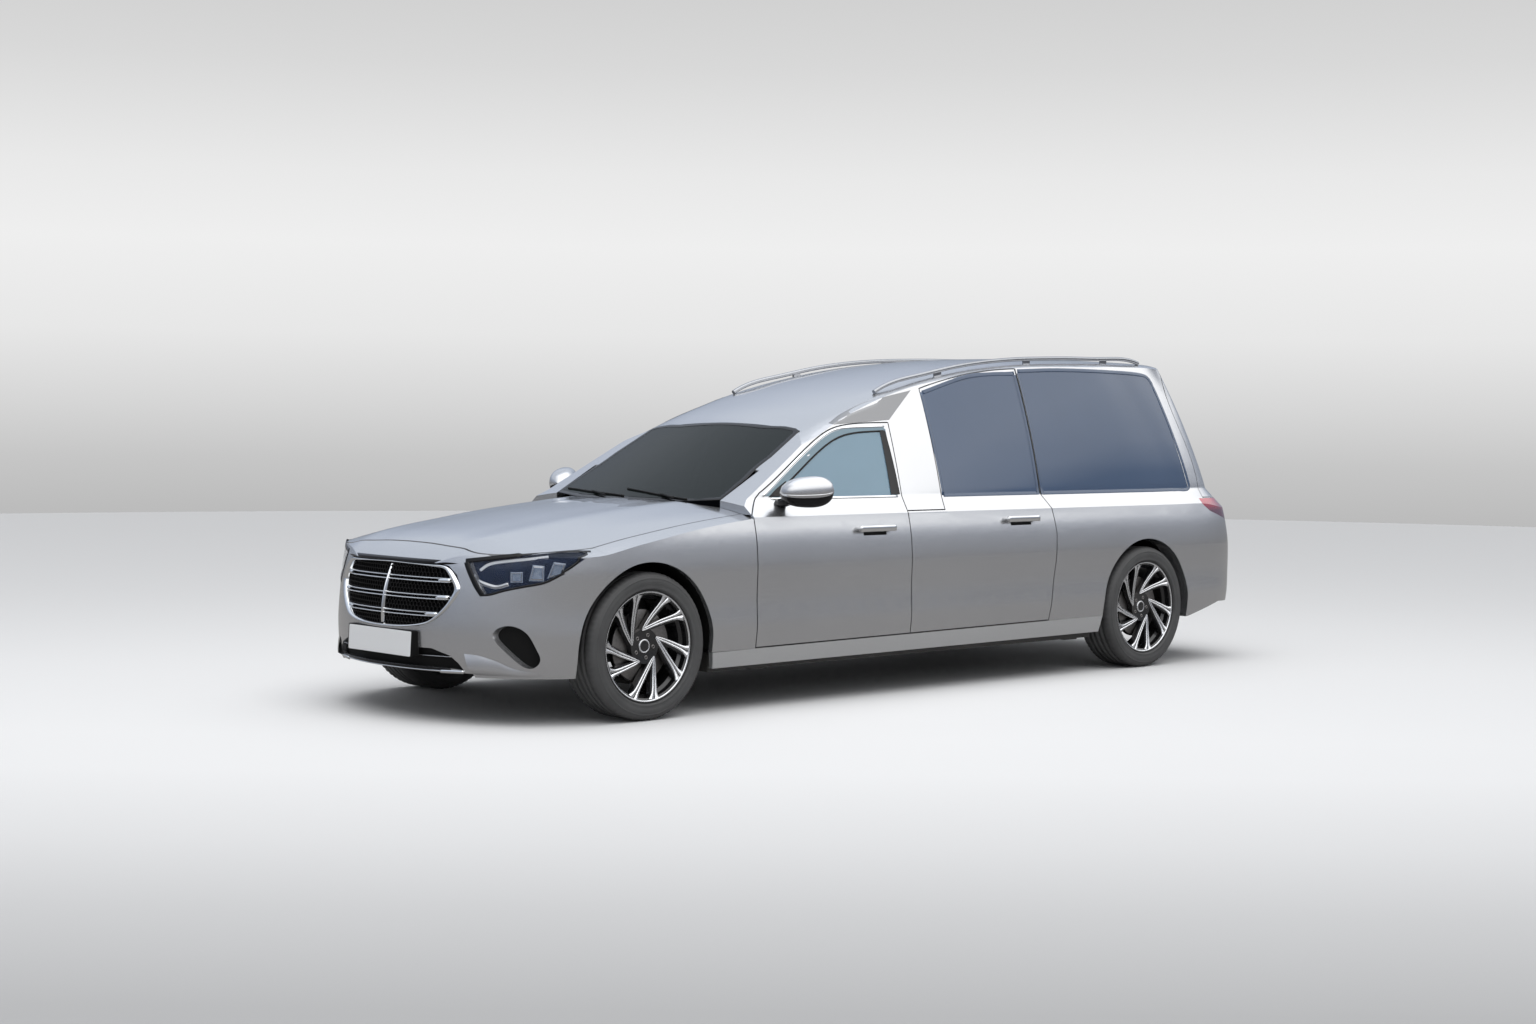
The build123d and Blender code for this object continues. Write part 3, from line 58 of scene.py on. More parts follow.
# ------------------------------------------------------------------ camera
# A long lens at standing eye height, off the front left corner of the car,
# aimed along the car so that bonnet, side and load windows all show.
yaw, pitch, roll = (math.radians(a) for a in (226.75, -2.36, 0.54))
ahead = Vector((math.cos(pitch) * math.cos(yaw), math.cos(pitch) * math.sin(yaw), math.sin(pitch)))
level = ahead.cross(Vector((0, 0, 1))).normalized()
upward = level.cross(ahead)
right = math.cos(roll) * level + math.sin(roll) * upward
up = math.cos(roll) * upward - math.sin(roll) * level
eye = Vector((9.005, 9.168, 1.438))
camera = bpy.data.objects.new("camera", bpy.data.cameras.new("camera"))
camera.data.lens = 53.8
camera.data.sensor_width = 36
camera.data.clip_end = 200
camera.matrix_world = Matrix.Translation(eye) @ Matrix((right, up, -ahead)).transposed().to_4x4()
bpy.context.scene.collection.objects.link(camera)
bpy.context.scene.camera = camera
bpy.context.scene.view_settings.view_transform = "Standard"


# ------------------------------------------------------------------ studio
# A pale round floor, a grey wall that brightens and fades with height, and soft
# light from above, so that polished metal and dark glass have something to show.
class Flow:
    """A shader socket. Sums on it add Math nodes, and node() adds any other node."""

    def __init__(self, tree, socket=None):
        self.tree, self.socket = tree, socket

    def node(self, kind, settings, sockets, out=0):
        made = self.tree.nodes.new("ShaderNode" + kind)
        for key, value in settings.items():
            if key == "stops":
                ramp = made.color_ramp
                while len(ramp.elements) < len(value):
                    ramp.elements.new(0.5)
                for element, (place, colour) in zip(ramp.elements, value):
                    element.position = place
                    element.color = (*colour, 1)
            else:
                setattr(made, key, value)
        for key, value in sockets.items():
            if isinstance(value, Flow):
                self.tree.links.new(value.socket, made.inputs[key])
            else:
                made.inputs[key].default_value = value
        return Flow(self.tree, made.outputs[out])

    def maths(self, operation, *others, first=None):
        """A Math node on this value, or with another value ahead of it."""
        values = (self, *others) if first is None else (first, self)
        return self.node("Math", {"operation": operation}, dict(enumerate(values)))

    def __add__(self, other):
        return self.maths("ADD", other)

    def __mul__(self, other):
        return self.maths("MULTIPLY", other)

    def __sub__(self, other):
        return self.maths("SUBTRACT", other)

    def __rsub__(self, other):
        return self.maths("SUBTRACT", first=other)

    def __rtruediv__(self, other):
        return self.maths("DIVIDE", first=other)

    def __gt__(self, other):
        return self.maths("GREATER_THAN", other)

    __radd__, __rmul__ = __add__, __mul__

    def clipped(self):
        """This value held between 0 and 1."""
        return self.node("Clamp", {}, {0: self})

    def wave(self, rate):
        """A sine of this value, as a height from 0 to 1."""
        return (self * rate).maths("SINE") * 0.5 + 0.5

    def mix(self, low, high):
        """Colour between low and high, by this value."""
        return self.node("Mix", {"data_type": "RGBA"}, {0: self, 6: low, 7: high}, out=2)

    def place(self):
        """Position in the car's frame."""
        return self.node("NewGeometry", {}, {}, out=0)

    def parts(self):
        """The three coordinates of this vector."""
        split = self.node("SeparateXYZ", {}, {0: self}).socket.node
        return [Flow(self.tree, socket) for socket in split.outputs]

    def noise(self, where, scale, detail=2.0):
        return self.node("TexNoise", {}, {"Vector": where, "Scale": scale, "Detail": detail})

    def bump(self, height, strength, distance):
        return self.node("Bump", {}, {"Height": height, "Strength": strength, "Distance": distance})


def grey(value):
    return (value, value, value)


world = bpy.data.worlds.new("studio")
bpy.context.scene.world = world
world.use_nodes = True
sky = Flow(world.node_tree)
ray = sky.node("TexCoord", {}, {}, out=0)
rise = ray.parts()[2]
wall = sky.node(
    "ValToRGB", {"stops": [(0.0, grey(0.62)), (0.418, grey(0.50)), (0.463, grey(0.566)),
                           (0.508, grey(0.67)), (0.57, grey(0.80)), (0.646, grey(0.862)),
                           (0.707, grey(0.815)), (0.798, grey(0.69)), (0.86, grey(0.635)),
                           (1.0, grey(0.60))]}, {0: rise * 2.0 + 0.5})
path = sky.node("LightPath", {}, {}).socket.node
seen = Flow(world.node_tree, path.outputs["Is Camera Ray"])
seen = seen + Flow(world.node_tree, path.outputs["Is Transmission Ray"])
mirrored = Flow(world.node_tree, path.outputs["Is Glossy Ray"])
left_sky = sky.node(
    "ValToRGB", {"stops": [(0.0, grey(0.20)), (0.47, grey(0.20)), (0.52, (0.24, 0.25, 0.27)),
                           (0.60, (0.30, 0.32, 0.37)), (0.69, (0.44, 0.48, 0.56)), (0.76, (1.3, 1.32, 1.36)),
                           (0.88, grey(1.8)), (1.0, grey(1.8))]}, {0: rise + 0.5})
right_sky = sky.node(
    "ValToRGB", {"stops": [(0.0, grey(0.22)), (0.47, grey(0.24)), (0.53, (0.28, 0.30, 0.34)),
                           (0.62, (0.31, 0.35, 0.42)), (0.75, (0.40, 0.45, 0.55)), (0.90, (0.54, 0.60, 0.72)),
                           (1.0, (0.72, 0.78, 0.88))]}, {0: rise + 0.5})
open_sky = (ray.parts()[1] * 2.0 + 0.5).clipped().mix(right_sky, left_sky)
light = mirrored.mix((0.43, 0.44, 0.46, 1), open_sky)
world.node_tree.links.new(seen.mix(light, wall).socket, world.node_tree.nodes["Background"].inputs[0])


def new_finish(name):
    """A material, the start of its node flow, and its shader."""
    material = bpy.data.materials.new(name)
    material.use_nodes = True
    return material, Flow(material.node_tree), material.node_tree.nodes["Principled BSDF"]


def set_shader(shader, **values):
    """Set or link the shader's sockets, named with underscores for spaces."""
    for key, value in values.items():
        socket = shader.inputs[key.replace("_", " ")]
        if isinstance(value, Flow):
            value.tree.links.new(value.socket, socket)
        else:
            socket.default_value = (*value, 1) if isinstance(value, tuple) and len(value) == 3 else value


def grained(name, scale, low, high, gain, rough, detail=2.0, stretch=None, relief=None, **more):
    """A finish mottled between two colours by fine noise, which its roughness and relief follow."""
    finish, flow, shader = new_finish(name)
    where = flow.place()
    if stretch:
        where = where.node("VectorMath", {"operation": "MULTIPLY"}, {0: where, 1: stretch})
    grain = flow.noise(where, scale, detail)
    if relief:
        more["Normal"] = flow.bump(grain, *relief)
    set_shader(shader, Base_Color=grain.mix((*low, 1), (*high, 1)), Roughness=grain * gain + rough, **more)
    return finish


floor_radius = 22.0
floor_finish, flow, shader = new_finish("floor_paint")
x, y, z = flow.place().parts()
reach = (x - eye.x) * ahead.x + (y - eye.y) * ahead.y
drop = eye.z / reach.maths("MAXIMUM", 3.0)
# Painted light on the floor: its colour is pale in a band at middle distance from the camera and falls off
# darker nearer and farther, as light would.
painted_floor_falloff = flow.node(
    "ValToRGB", {"stops": [(0.0, grey(0.60)), (0.0492, grey(0.65)), (0.08, grey(0.716)), (0.11, grey(0.807)),
                           (0.14, grey(0.863)), (0.156, grey(0.863)), (0.1865, grey(0.776)),
                           (0.217, grey(0.651)), (0.2627, grey(0.515)), (1.0, grey(0.42))]}, {0: drop})
# Painted shade: the floor darkens towards its sides, beyond the camera's view.
sideways = (x - eye.x) * level.x + (y - eye.y) * level.y
spread = sideways.maths("ABSOLUTE") * (1.0 / reach.maths("MAXIMUM", 0.5))
edge = ((spread - 0.38) * 2.2).clipped()
painted_floor_light = edge.mix(painted_floor_falloff, (0.22, 0.22, 0.22, 1))
# In reflections the floor shows a flat darker grey, a painted reflection tone.
path = flow.node("LightPath", {}, {}).socket.node
mirrored = Flow(flow.tree, path.outputs["Is Glossy Ray"])
set_shader(shader, Base_Color=mirrored.mix(painted_floor_light, (0.30, 0.29, 0.28, 1)), Roughness=0.9, Specular_IOR_Level=0.1)
disc = bmesh.new()
bmesh.ops.create_circle(disc, cap_ends=True, segments=256, radius=floor_radius)
floor_mesh = bpy.data.meshes.new("floor")
disc.to_mesh(floor_mesh)
disc.free()
floor_mesh.materials.append(floor_finish)
floor = bpy.data.objects.new("floor", floor_mesh)
bpy.context.scene.collection.objects.link(floor)
floor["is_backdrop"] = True


def lamp(name, size, power, where, target, visible=True):
    data = bpy.data.lights.new(name, "AREA")
    data.shape = "RECTANGLE"
    data.size, data.size_y = size
    data.energy = power
    made = bpy.data.objects.new(name, data)
    made.location = where
    made.rotation_mode = "QUATERNION"
    made.rotation_quaternion = (Vector(target) - Vector(where)).to_track_quat("-Z", "Y")
    made.visible_glossy = visible
    made.visible_camera = False
    bpy.context.scene.collection.objects.link(made)


lamp("overhead", (9, 5), 110, (0, 0, 6.5), (0, 0, 0))
sun = bpy.data.objects.new("sun", bpy.data.lights.new("sun", "SUN"))
sun.data.energy = 1.5
sun.data.angle = math.radians(70)
sun.rotation_euler = (math.radians(-14), math.radians(8), 0)
sun.visible_glossy = False
bpy.context.scene.collection.objects.link(sun)


# ------------------------------------------------------------------ silver bodywork
# Pressed panels in metallic silver under clear lacquer: fine flakes in the colour
# coat, a slight ripple in the lacquer, and a broad cloudy change of tone.
def add_mesh(name, points, faces, finishes, body, smooth=True, pick=None):
    """A mesh piece that rides on a body, with finishes picked by face index."""
    mesh = bpy.data.meshes.new(name)
    mesh.from_pydata([tuple(p) for p in points], [], faces)
    for finish in finishes:
        mesh.materials.append(finish)
    for face in mesh.polygons:
        face.use_smooth = smooth
        if pick:
            face.material_index = pick(face.index)
    mesh.validate()
    made = bpy.data.objects.new(name, mesh)
    bpy.context.scene.collection.objects.link(made)
    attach(made, body)
    return made


def net(first, rows, columns, ring=False, around=False, flip=False, down=False):
    """Faces over points stored row by row. A ring joins each row's ends, around joins the last
    row to the first, down starts each face along its column, and flip turns the faces over."""
    faces = []
    for i in range(rows if around else rows - 1):
        a, b = first + i * columns, first + (i + 1) % rows * columns
        for j in range(columns if ring else columns - 1):
            k = (j + 1) % columns
            quad = (a + j, b + j, b + k, a + k) if down else (a + j, a + k, b + k, b + j)
            faces.append(quad[::-1] if flip else quad)
    return faces


def paint_node(finish, *names):
    """Give CAD nodes their finish."""
    for name in names:
        for holder in nodes[name].material_slots:
            holder.material = finish


silver, flow, shader = new_finish("silver_paint")
where = flow.place()
flakes = flow.noise(where, 1900.0, 1.0)
cloud = flow.noise(where, 1.3)
tint = (flakes * 0.5 + cloud * 0.5).mix((0.52, 0.525, 0.54, 1), (0.64, 0.648, 0.662, 1))
set_shader(shader, Base_Color=tint, Metallic=0.9, Roughness=flakes * 0.08 + 0.22, Coat_Weight=1.0,
           Coat_Roughness=0.02, Normal=flow.bump(flakes, 0.02, 0.0004))
paint_node(silver, "body_side_left", "body_side_right", "roof", "front_wings", "front_bumper",
           "rear_bumper", "bonnet", "tailgate", "front_door_left", "front_door_right",
           "rear_door_left", "rear_door_right")

satin = grained("satin_silver_sill", 260.0, (0.60, 0.61, 0.62), (0.68, 0.69, 0.70), 0.1, 0.34,
                Metallic=0.75, Coat_Weight=0.4)
paint_node(satin, "sills")

# ------------------------------------------------------------------ window glass
# Toughened panes: pale blue in the front doors, a dark laminated windscreen, and
# near-opaque blue-grey privacy glass round the load space.


def glass(name, tint, clear, shine):
    finish, flow, shader = new_finish(name)
    film = flow.noise(flow.place(), 2.0, 3.0)
    set_shader(shader, Base_Color=film.mix(tuple(0.85 * c for c in tint) + (1,), tint + (1,)),
               Roughness=film * 0.03, Specular_IOR_Level=shine, Coat_Weight=0.5 * shine, Coat_Roughness=0.0,
               Alpha=1 - clear * (1 - film * 0.06))
    return finish


privacy = glass("privacy_glass", (0.070, 0.115, 0.205), 0.06, 0.5)
tinted = glass("green_glass", (0.27, 0.44, 0.56), 0.26, 0.6)
laminated = glass("windscreen_glass", (0.022, 0.028, 0.028), 0.18, 0.08)
paint_node(privacy, "rear_door_glass_left", "rear_door_glass_right", "quarter_windows", "tailgate_glass")
paint_node(tinted, "front_door_glass_left", "front_door_glass_right")
paint_node(laminated, "windscreen")

# ------------------------------------------------------------------ bright and black trim
# Rolled chrome and gloss black strips, clipped to the panels they follow. Each one
# is laid on the panel's own surface, a few millimetres proud of it.
chrome = grained("chrome", 60.0, (0.82, 0.83, 0.84), (0.90, 0.91, 0.92), 0.05, 0.04, Metallic=1.0)
piano = grained("gloss_black", 40.0, (0.004, 0.004, 0.005), (0.008, 0.008, 0.009), 0.06, 0.10,
                Specular_IOR_Level=0.3)
rubber = grained("black_rubber", 700.0, grey(0.010), grey(0.022), 0.15, 0.55, relief=(0.15, 0.0005),
                 Specular_IOR_Level=0.25)
moulded = grained("moulded_black", 420.0, grey(0.004), grey(0.012), 0.2, 0.55, relief=(0.25, 0.0006),
                  Specular_IOR_Level=0.12)
ray_side, ray_top, ray_end = 1.3, 2.5, 3.4    # how far outside the car the rays start


def surface_of(*names):
    """Search tree over the meshes of some CAD nodes."""
    points, faces = [], []
    for name in names:
        start = len(points)
        points += [v.co.copy() for v in nodes[name].data.vertices]
        faces += [tuple(start + i for i in p.vertices) for p in nodes[name].data.polygons]
    return BVHTree.FromPolygons(points, faces)


def smooth_path(path, count):
    """Evenly spaced points along a smooth curve through the given ones."""
    knots = [Vector(p) for p in path]
    knots = [2 * knots[0] - knots[1], *knots, 2 * knots[-1] - knots[-2]]
    fine = []
    for a, b, c, d in zip(knots, knots[1:], knots[2:], knots[3:]):
        for step in range(16):
            t = step / 16
            fine.append(0.5 * (2 * b + (c - a) * t + (2 * a - 5 * b + 4 * c - d) * t * t
                               + (3 * b - a - 3 * c + d) * t ** 3))
    fine.append(knots[-2])
    lengths = [0.0]
    for a, b in zip(fine, fine[1:]):
        lengths.append(lengths[-1] + (b - a).length)
    even, k = [], 0
    for i in range(count):
        goal = lengths[-1] * i / (count - 1)
        while k < len(fine) - 2 and lengths[k + 1] < goal:
            k += 1
        span = lengths[k + 1] - lengths[k] or 1
        even.append(fine[k].lerp(fine[k + 1], min(1, (goal - lengths[k]) / span)))
    return even


def land(tree, path, start, toward):
    """Where rays from a plane reach a surface, with its normals; missed points are dropped."""
    hits = []
    for p in path:
        origin = Vector(start(p))
        spot, normal, _, _ = tree.ray_cast(origin, Vector(toward))
        if spot is not None:
            hits.append((spot, normal if normal.dot(Vector(toward)) < 0 else -normal))
    return hits


def strip(name, hits, width, rise, finish, body, slot, sink=0.001, closed=False):
    """A low rounded bar along a surface."""
    section = [(-0.5, -sink), (-0.5, rise * 0.45), (-0.3, rise * 0.9), (0, rise), (0.3, rise * 0.9),
               (0.5, rise * 0.45), (0.5, -sink)]
    points = []
    total = len(hits)
    for i, (spot, normal) in enumerate(hits):
        after = hits[(i + 1) % total][0] if closed else hits[min(i + 1, total - 1)][0]
        before = hits[i - 1][0] if closed else hits[max(i - 1, 0)][0]
        along = (after - before).normalized()
        across = along.cross(normal).normalized()
        points += [spot + across * (u * width) + normal * v for u, v in section]
    many = len(section)
    faces = net(0, total, many, ring=True, around=closed)
    if not closed:
        faces += [tuple(range(many - 1, -1, -1)), tuple(range((total - 1) * many, total * many))]
    return add_mesh(name, points, faces, [finish], body)


def side_strip(name, node_names, path, count, width, rise, finish, body, slot, **more):
    """The same strip on both sides of the car, from a path in side view."""
    for side, sign in SIDES:
        names = [n.replace("SIDE", side) for n in node_names]
        hits = land(surface_of(*names), smooth_path([(px, 0, pz) for px, pz in path], count),
                    lambda p: (p.x, sign * ray_side, p.z), (0, -sign, 0))
        if sign < 0:
            hits = hits[::-1]
        strip(f"{name}_{side}", hits, width, rise, finish, body.replace("SIDE", side), slot, **more)


def side_patch(name, node_names, first, second, rise, finish, body, columns=30, rows=5):
    """A thin skin between two side-view paths, laid on the panels of both sides."""
    paths = [smooth_path([(px, 0, pz) for px, pz in path], columns) for path in (first, second)]
    for side, sign in SIDES:
        tree = surface_of(*[n.replace("SIDE", side) for n in node_names])
        points = []
        for i in range(rows):
            level_row = [a.lerp(b, i / (rows - 1)) for a, b in zip(*paths)]
            depths = []
            for p in level_row:
                start = Vector((p.x, sign * ray_side, p.z))
                spot, _, _, _ = tree.ray_cast(start, Vector((0, -sign, 0)))
                depths.append(abs(spot.y) if spot is not None else 0.0)
            fair = sorted(depths)[len(depths) // 2] - 0.18
            known = [k for k, depth in enumerate(depths) if depth > fair]
            for k, p in enumerate(level_row):
                near = min(known, key=lambda other: abs(other - k))
                points.append((p.x, sign * (depths[near] + rise), p.z + rise * 0.3))
        made = add_mesh(f"{name}_{side}", points, net(0, rows, columns), [finish],
                        body.replace("SIDE", side))
        bm = bmesh.new()
        bm.from_mesh(made.data)
        outward = sum((face.normal.y for face in bm.faces), 0.0) * sign
        if outward < 0:
            bmesh.ops.reverse_faces(bm, faces=bm.faces)
        bm.to_mesh(made.data)
        bm.free()


side_pane_edge = grained("front_pane_edge", 2.0, (0.17, 0.27, 0.33), (0.19, 0.30, 0.37), 0.05, 0.05,
                         detail=3.0, Coat_Weight=0.3)
# A darker copy of the silver paint: painted shade for the upper side facet that tilts away from the bright
# sky.
painted_shade_silver = grained("silver_painted_shade", 1900.0, (0.20, 0.203, 0.21), (0.24, 0.243, 0.25), 0.08, 0.26,
                 detail=1.0, Metallic=0.9, Coat_Weight=0.3)
pane_edge = grained("printed_pane_edge", 2.0, (0.050, 0.085, 0.155), (0.060, 0.100, 0.180), 0.05, 0.05,
                    detail=3.0, Coat_Weight=0.25)

# front door: bright frame round the window, in two runs, and the black cover on its rear post
door_window = ["front_door_SIDE", "front_door_glass_SIDE"]
side_strip("window_frame_upper", door_window,
           [(1.172, 1.045), (0.925, 1.200), (0.748, 1.297), (0.622, 1.357), (0.535, 1.382), (0.425, 1.391),
            (0.205, 1.397)], 60, 0.012, 0.005, chrome, "front_door_SIDE", "chrome")
side_patch("window_frame_fill", door_window,
           [(1.160, 1.044), (0.916, 1.194), (0.740, 1.292), (0.616, 1.351), (0.530, 1.376), (0.420, 1.385),
            (0.205, 1.391)],
           [(1.085, 1.043), (0.945, 1.133), (0.715, 1.265), (0.560, 1.333), (0.500, 1.352), (0.420, 1.361),
            (0.215, 1.372)], 0.0012, side_pane_edge, "front_door_SIDE", columns=60)
# A thin skin of the darker silver laid flush on the side below the cant rail, painted shade standing for a
# tilted facet.
side_patch("cant_rail_painted_shade", ["body_side_SIDE", "roof"],
           [(0.550, 1.405), (0.440, 1.412), (0.300, 1.421), (0.150, 1.432)],
           [(0.560, 1.412), (0.430, 1.466), (0.210, 1.536), (-0.070, 1.592)],
           0.0015, painted_shade_silver, "body")
side_patch("mirror_sail", door_window, [(1.140, 1.040), (1.070, 1.040), (0.985, 1.040)],
           [(1.135, 1.042), (1.075, 1.080), (1.000, 1.118)], 0.003, piano, "front_door_SIDE")
side_strip("window_frame_belt", door_window, [(1.126, 1.030), (0.7, 1.031), (0.246, 1.031)],
           40, 0.014, 0.005, chrome, "front_door_SIDE", "chrome")
side_patch("rear_post_cover", door_window, [(0.290, 1.040), (0.268, 1.2), (0.244, 1.374)],
           [(0.224, 1.040), (0.214, 1.2), (0.206, 1.374)], 0.003, piano, "front_door_SIDE")
side_strip("front_window_seal", ["front_door_glass_SIDE"],
           [(1.085, 1.043), (0.945, 1.133), (0.715, 1.265), (0.56, 1.333), (0.42, 1.361), (0.215, 1.372)],
           60, 0.010, 0.003, rubber, "front_door_SIDE", "cowl_black")

# rear glazing: black bonded edge round the door pane and the fixed quarter pane
rear_side = ["rear_door_SIDE", "rear_door_glass_SIDE"]
pane_top = [(-0.150, 1.582), (-0.475, 1.668), (-0.700, 1.692), (-0.885, 1.697)]
side_strip("rear_pane_edge_top", rear_side, pane_top, 40, 0.024, 0.0015, pane_edge,
           "rear_door_SIDE", "cowl_black")
side_strip("rear_pane_edge_front", rear_side, [(-0.108, 1.030), (-0.139, 1.582)], 24, 0.020,
           0.0015, pane_edge, "rear_door_SIDE", "cowl_black")
side_strip("rear_pane_edge_belt", rear_side, [(-0.108, 1.030), (-0.888, 1.030)], 40, 0.020,
           0.0015, pane_edge, "rear_door_SIDE", "cowl_black")
side_strip("quarter_pane_edge", ["quarter_windows", "body_side_SIDE"],
           [(-0.920, 1.030), (-1.6, 1.030), (-2.1, 1.030), (-2.290, 1.034), (-2.297, 1.10), (-2.226, 1.35),
            (-2.147, 1.62), (-2.11, 1.692), (-2.03, 1.714), (-1.74, 1.724), (-1.27, 1.726), (-0.920, 1.713)],
           150, 0.022, 0.0015, pane_edge, "body", "cowl_black")
side_patch("pane_seam_door", rear_side, [(-0.876, 1.022), (-0.876, 1.35), (-0.876, 1.690)],
           [(-0.8945, 1.022), (-0.8945, 1.35), (-0.8945, 1.690)],
           0.0016, pane_edge, "rear_door_SIDE")
side_patch("pane_seam_body", ["body_side_SIDE", "quarter_windows"],
           [(-0.9095, 1.022), (-0.9095, 1.35), (-0.9095, 1.700)],
           [(-0.930, 1.022), (-0.930, 1.35), (-0.930, 1.700)], 0.0016, pane_edge, "body")

# ------------------------------------------------------------------ door handles
# A bright bar laid along each cast pull handle, over a thin dark strip of painted shadow under it.
for front, z in ((0.492, 0.872), (-0.665, 0.895)):
    door = "front_door" if front > 0 else "rear_door"
    side_strip(f"{door}_handle_pull", [f"{door}_SIDE"], [(front + 0.128, z), (front - 0.128, z)],
               24, 0.031, 0.005, chrome, f"{door}_SIDE", "chrome")
    # dark strip laid flat on the door below the pull: painted shadow under the handle
    side_strip(f"{door}_handle_cup", [f"{door}_SIDE"],
               [(front + 0.085, z - 0.027), (front - 0.085, z - 0.027)],
               16, 0.018, 0.0006, moulded, f"{door}_SIDE", "cowl_black")

# ------------------------------------------------------------------ floor trim
# Moulded black parts low on the car: cowl tray, arch liners, underbody, and the frame.
paint_node(moulded, "cowl", "wheel_arch_liners", "seat_bases", "steering_column", "lower_grille")
sealed, flow, shader = new_finish("sealed_steel")
where = flow.place()
spray, dust = flow.noise(where, 180.0), flow.noise(where, 3.0, 5.0)
set_shader(shader, Base_Color=dust.mix((0.020, 0.020, 0.020, 1), (0.060, 0.057, 0.052, 1)),
           Roughness=spray * 0.2 + 0.6, Normal=flow.bump(spray, 0.4, 0.001))
paint_node(sealed, "floor_pan", "front_subframe", "rear_axle_carrier")
cast_metal, flow, shader = new_finish("cast_metal")
pits, stain = flow.noise(flow.place(), 330.0), flow.noise(flow.place(), 7.0)
set_shader(shader, Base_Color=stain.mix((0.16, 0.16, 0.16, 1), (0.30, 0.30, 0.31, 1)), Metallic=0.9,
           Roughness=pits * 0.25 + 0.4, Normal=flow.bump(pits, 0.3, 0.0008))
paint_node(cast_metal, "engine", "knuckle_left", "knuckle_right")
pipe_steel = grained("stainless_pipe", 1.0, (0.30, 0.28, 0.25), (0.46, 0.45, 0.43), 0.2, 0.25,
                     stretch=(4, 300, 300), Metallic=1.0)
paint_node(pipe_steel, "exhaust")

# ------------------------------------------------------------------ radiator grille and front apron
# Chrome-plated frame, broad at the sides, and three pairs of bars joined at their ends
# over a black honeycomb, a blank plate on its bracket, and a black centre intake.
backing = surface_of("lower_grille")


def front_hits(tree, path, count):
    """Points on the nose, from a path in front view."""
    return land(tree, smooth_path([(0, y, z) for y, z in path], count), lambda p: (ray_end, p.y, p.z),
                (-1, 0, 0))


def nose(y, z, proud=0.0):
    """A point on the nose round the grille, as its curve in plan and in side view."""
    bow = 0.6525 * y ** 2 + 0.978 * y ** 4
    return Vector((2.6735 - bow + 0.9421 * z - 0.9745 * z ** 2 + 0.7607 * y ** 2 * z + proud, y, z))


def mirrored_loop(half, count):
    """A closed smooth loop from its left half, which runs from the top centre to the bottom centre."""
    whole = half + [(-y, z) for y, z in half[-2:0:-1]]
    return [(p.y, p.z) for p in smooth_path([(0, y, z) for y, z in whole + whole[:1]], count + 1)[:-1]]


def both_halves(half):
    """A path across the nose from its left half, which starts at the middle."""
    return [(-y, z) for y, z in half[:0:-1]] + half


ring_outer = [(0, 0.741), (0.166, 0.738), (0.312, 0.737), (0.383, 0.735), (0.421, 0.717), (0.461, 0.673),
              (0.483, 0.630), (0.475, 0.604), (0.452, 0.568), (0.410, 0.520), (0.361, 0.483), (0.304, 0.459),
              (0.187, 0.443), (0.056, 0.437), (0, 0.437)]
ring_inner = [(0, 0.734), (0.164, 0.732), (0.306, 0.726), (0.373, 0.720), (0.403, 0.699), (0.430, 0.665),
              (0.445, 0.632), (0.437, 0.602), (0.416, 0.561), (0.383, 0.524), (0.338, 0.487), (0.288, 0.467),
              (0.186, 0.452), (0.055, 0.447), (0, 0.447)]
ring_count = 160
loops = [mirrored_loop(half, ring_count) for half in (ring_outer, ring_inner)]
points = []
for (y, z), (inner_y, inner_z) in zip(*loops):
    middle_y, middle_z = (y * 0.7 + inner_y * 0.3), (z * 0.7 + inner_z * 0.3)
    points += [nose(y * 1.004, z, -0.016), nose(y, z, 0.003), nose(middle_y, middle_z, 0.006),
               nose(inner_y, inner_z, -0.010), nose(inner_y, inner_z, -0.036)]
faces = net(0, ring_count, 5, around=True, down=True)
bar_section = ((-0.020, -0.0028), (0, -0.0022), (0.0015, 0), (0, 0.0022), (-0.020, 0.0028))
end_section = ((-0.020, -0.0115), (0.001, -0.0105), (0.0035, 0), (0.001, 0.0105), (-0.020, 0.0115))
post_section = ((-0.020, -0.0040), (0.004, -0.0034), (0.006, 0), (0.004, 0.0034), (-0.020, 0.0040))
end_stops = ((0.062, 0.2), (0.050, 0.75), (0.012, 1.0), (0.004, 0.85), (0.0, 0.45))
sunk = -0.012
for z, end in ((0.668, 0.420), (0.588, 0.420), (0.508, 0.362)):
    for lift in (0.0085, -0.0085):
        base = len(points)
        for i in range(41):
            y = end * (2 * i / 40 - 1)
            points += [nose(y, z + lift + dz, sunk + dx) for dx, dz in bar_section]
        faces += net(base, 41, 5, down=True)
    for sign in (1, -1):
        base = len(points)
        for back, tall in end_stops:
            y = sign * (end + 0.004 - back)
            points += [nose(y, z + dz * tall, sunk + dx) for dx, dz in end_section]
        faces += net(base, 5, 5, down=True, flip=sign < 0)
base = len(points)
for i in range(25):
    z = 0.452 + 0.276 * i / 24
    points += [nose(dy, z, sunk + dx) for dx, dy in post_section]
faces += net(base, 25, 5)
bright = add_mesh("grille_frame_and_bars", points, faces, [chrome], "body")
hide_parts("radiator_grille")

# gloss black sheet in the gap between the grille and the bonnet, painted shadow where the gap is shaded,
# which runs on as a thin line to the lamp
points = []
for i in range(61):
    y = 0.500 * (i / 30 - 1)
    fade = max(0.0, 1 - max(0.0, abs(y) - 0.36) / 0.13)
    low = nose(y, 0.7395 + 0.010 * (1 - fade), 0.0005)
    high = nose(y, 0.7600, -0.004)
    points += [low - Vector((0.02, 0, 0)), low, low.lerp(high, 0.25 + 0.75 * fade),
               high - Vector((0.03, 0, 0))]
add_mesh("bonnet_gap_shadow", points, net(0, 61, 4, down=True), [piano], "body")

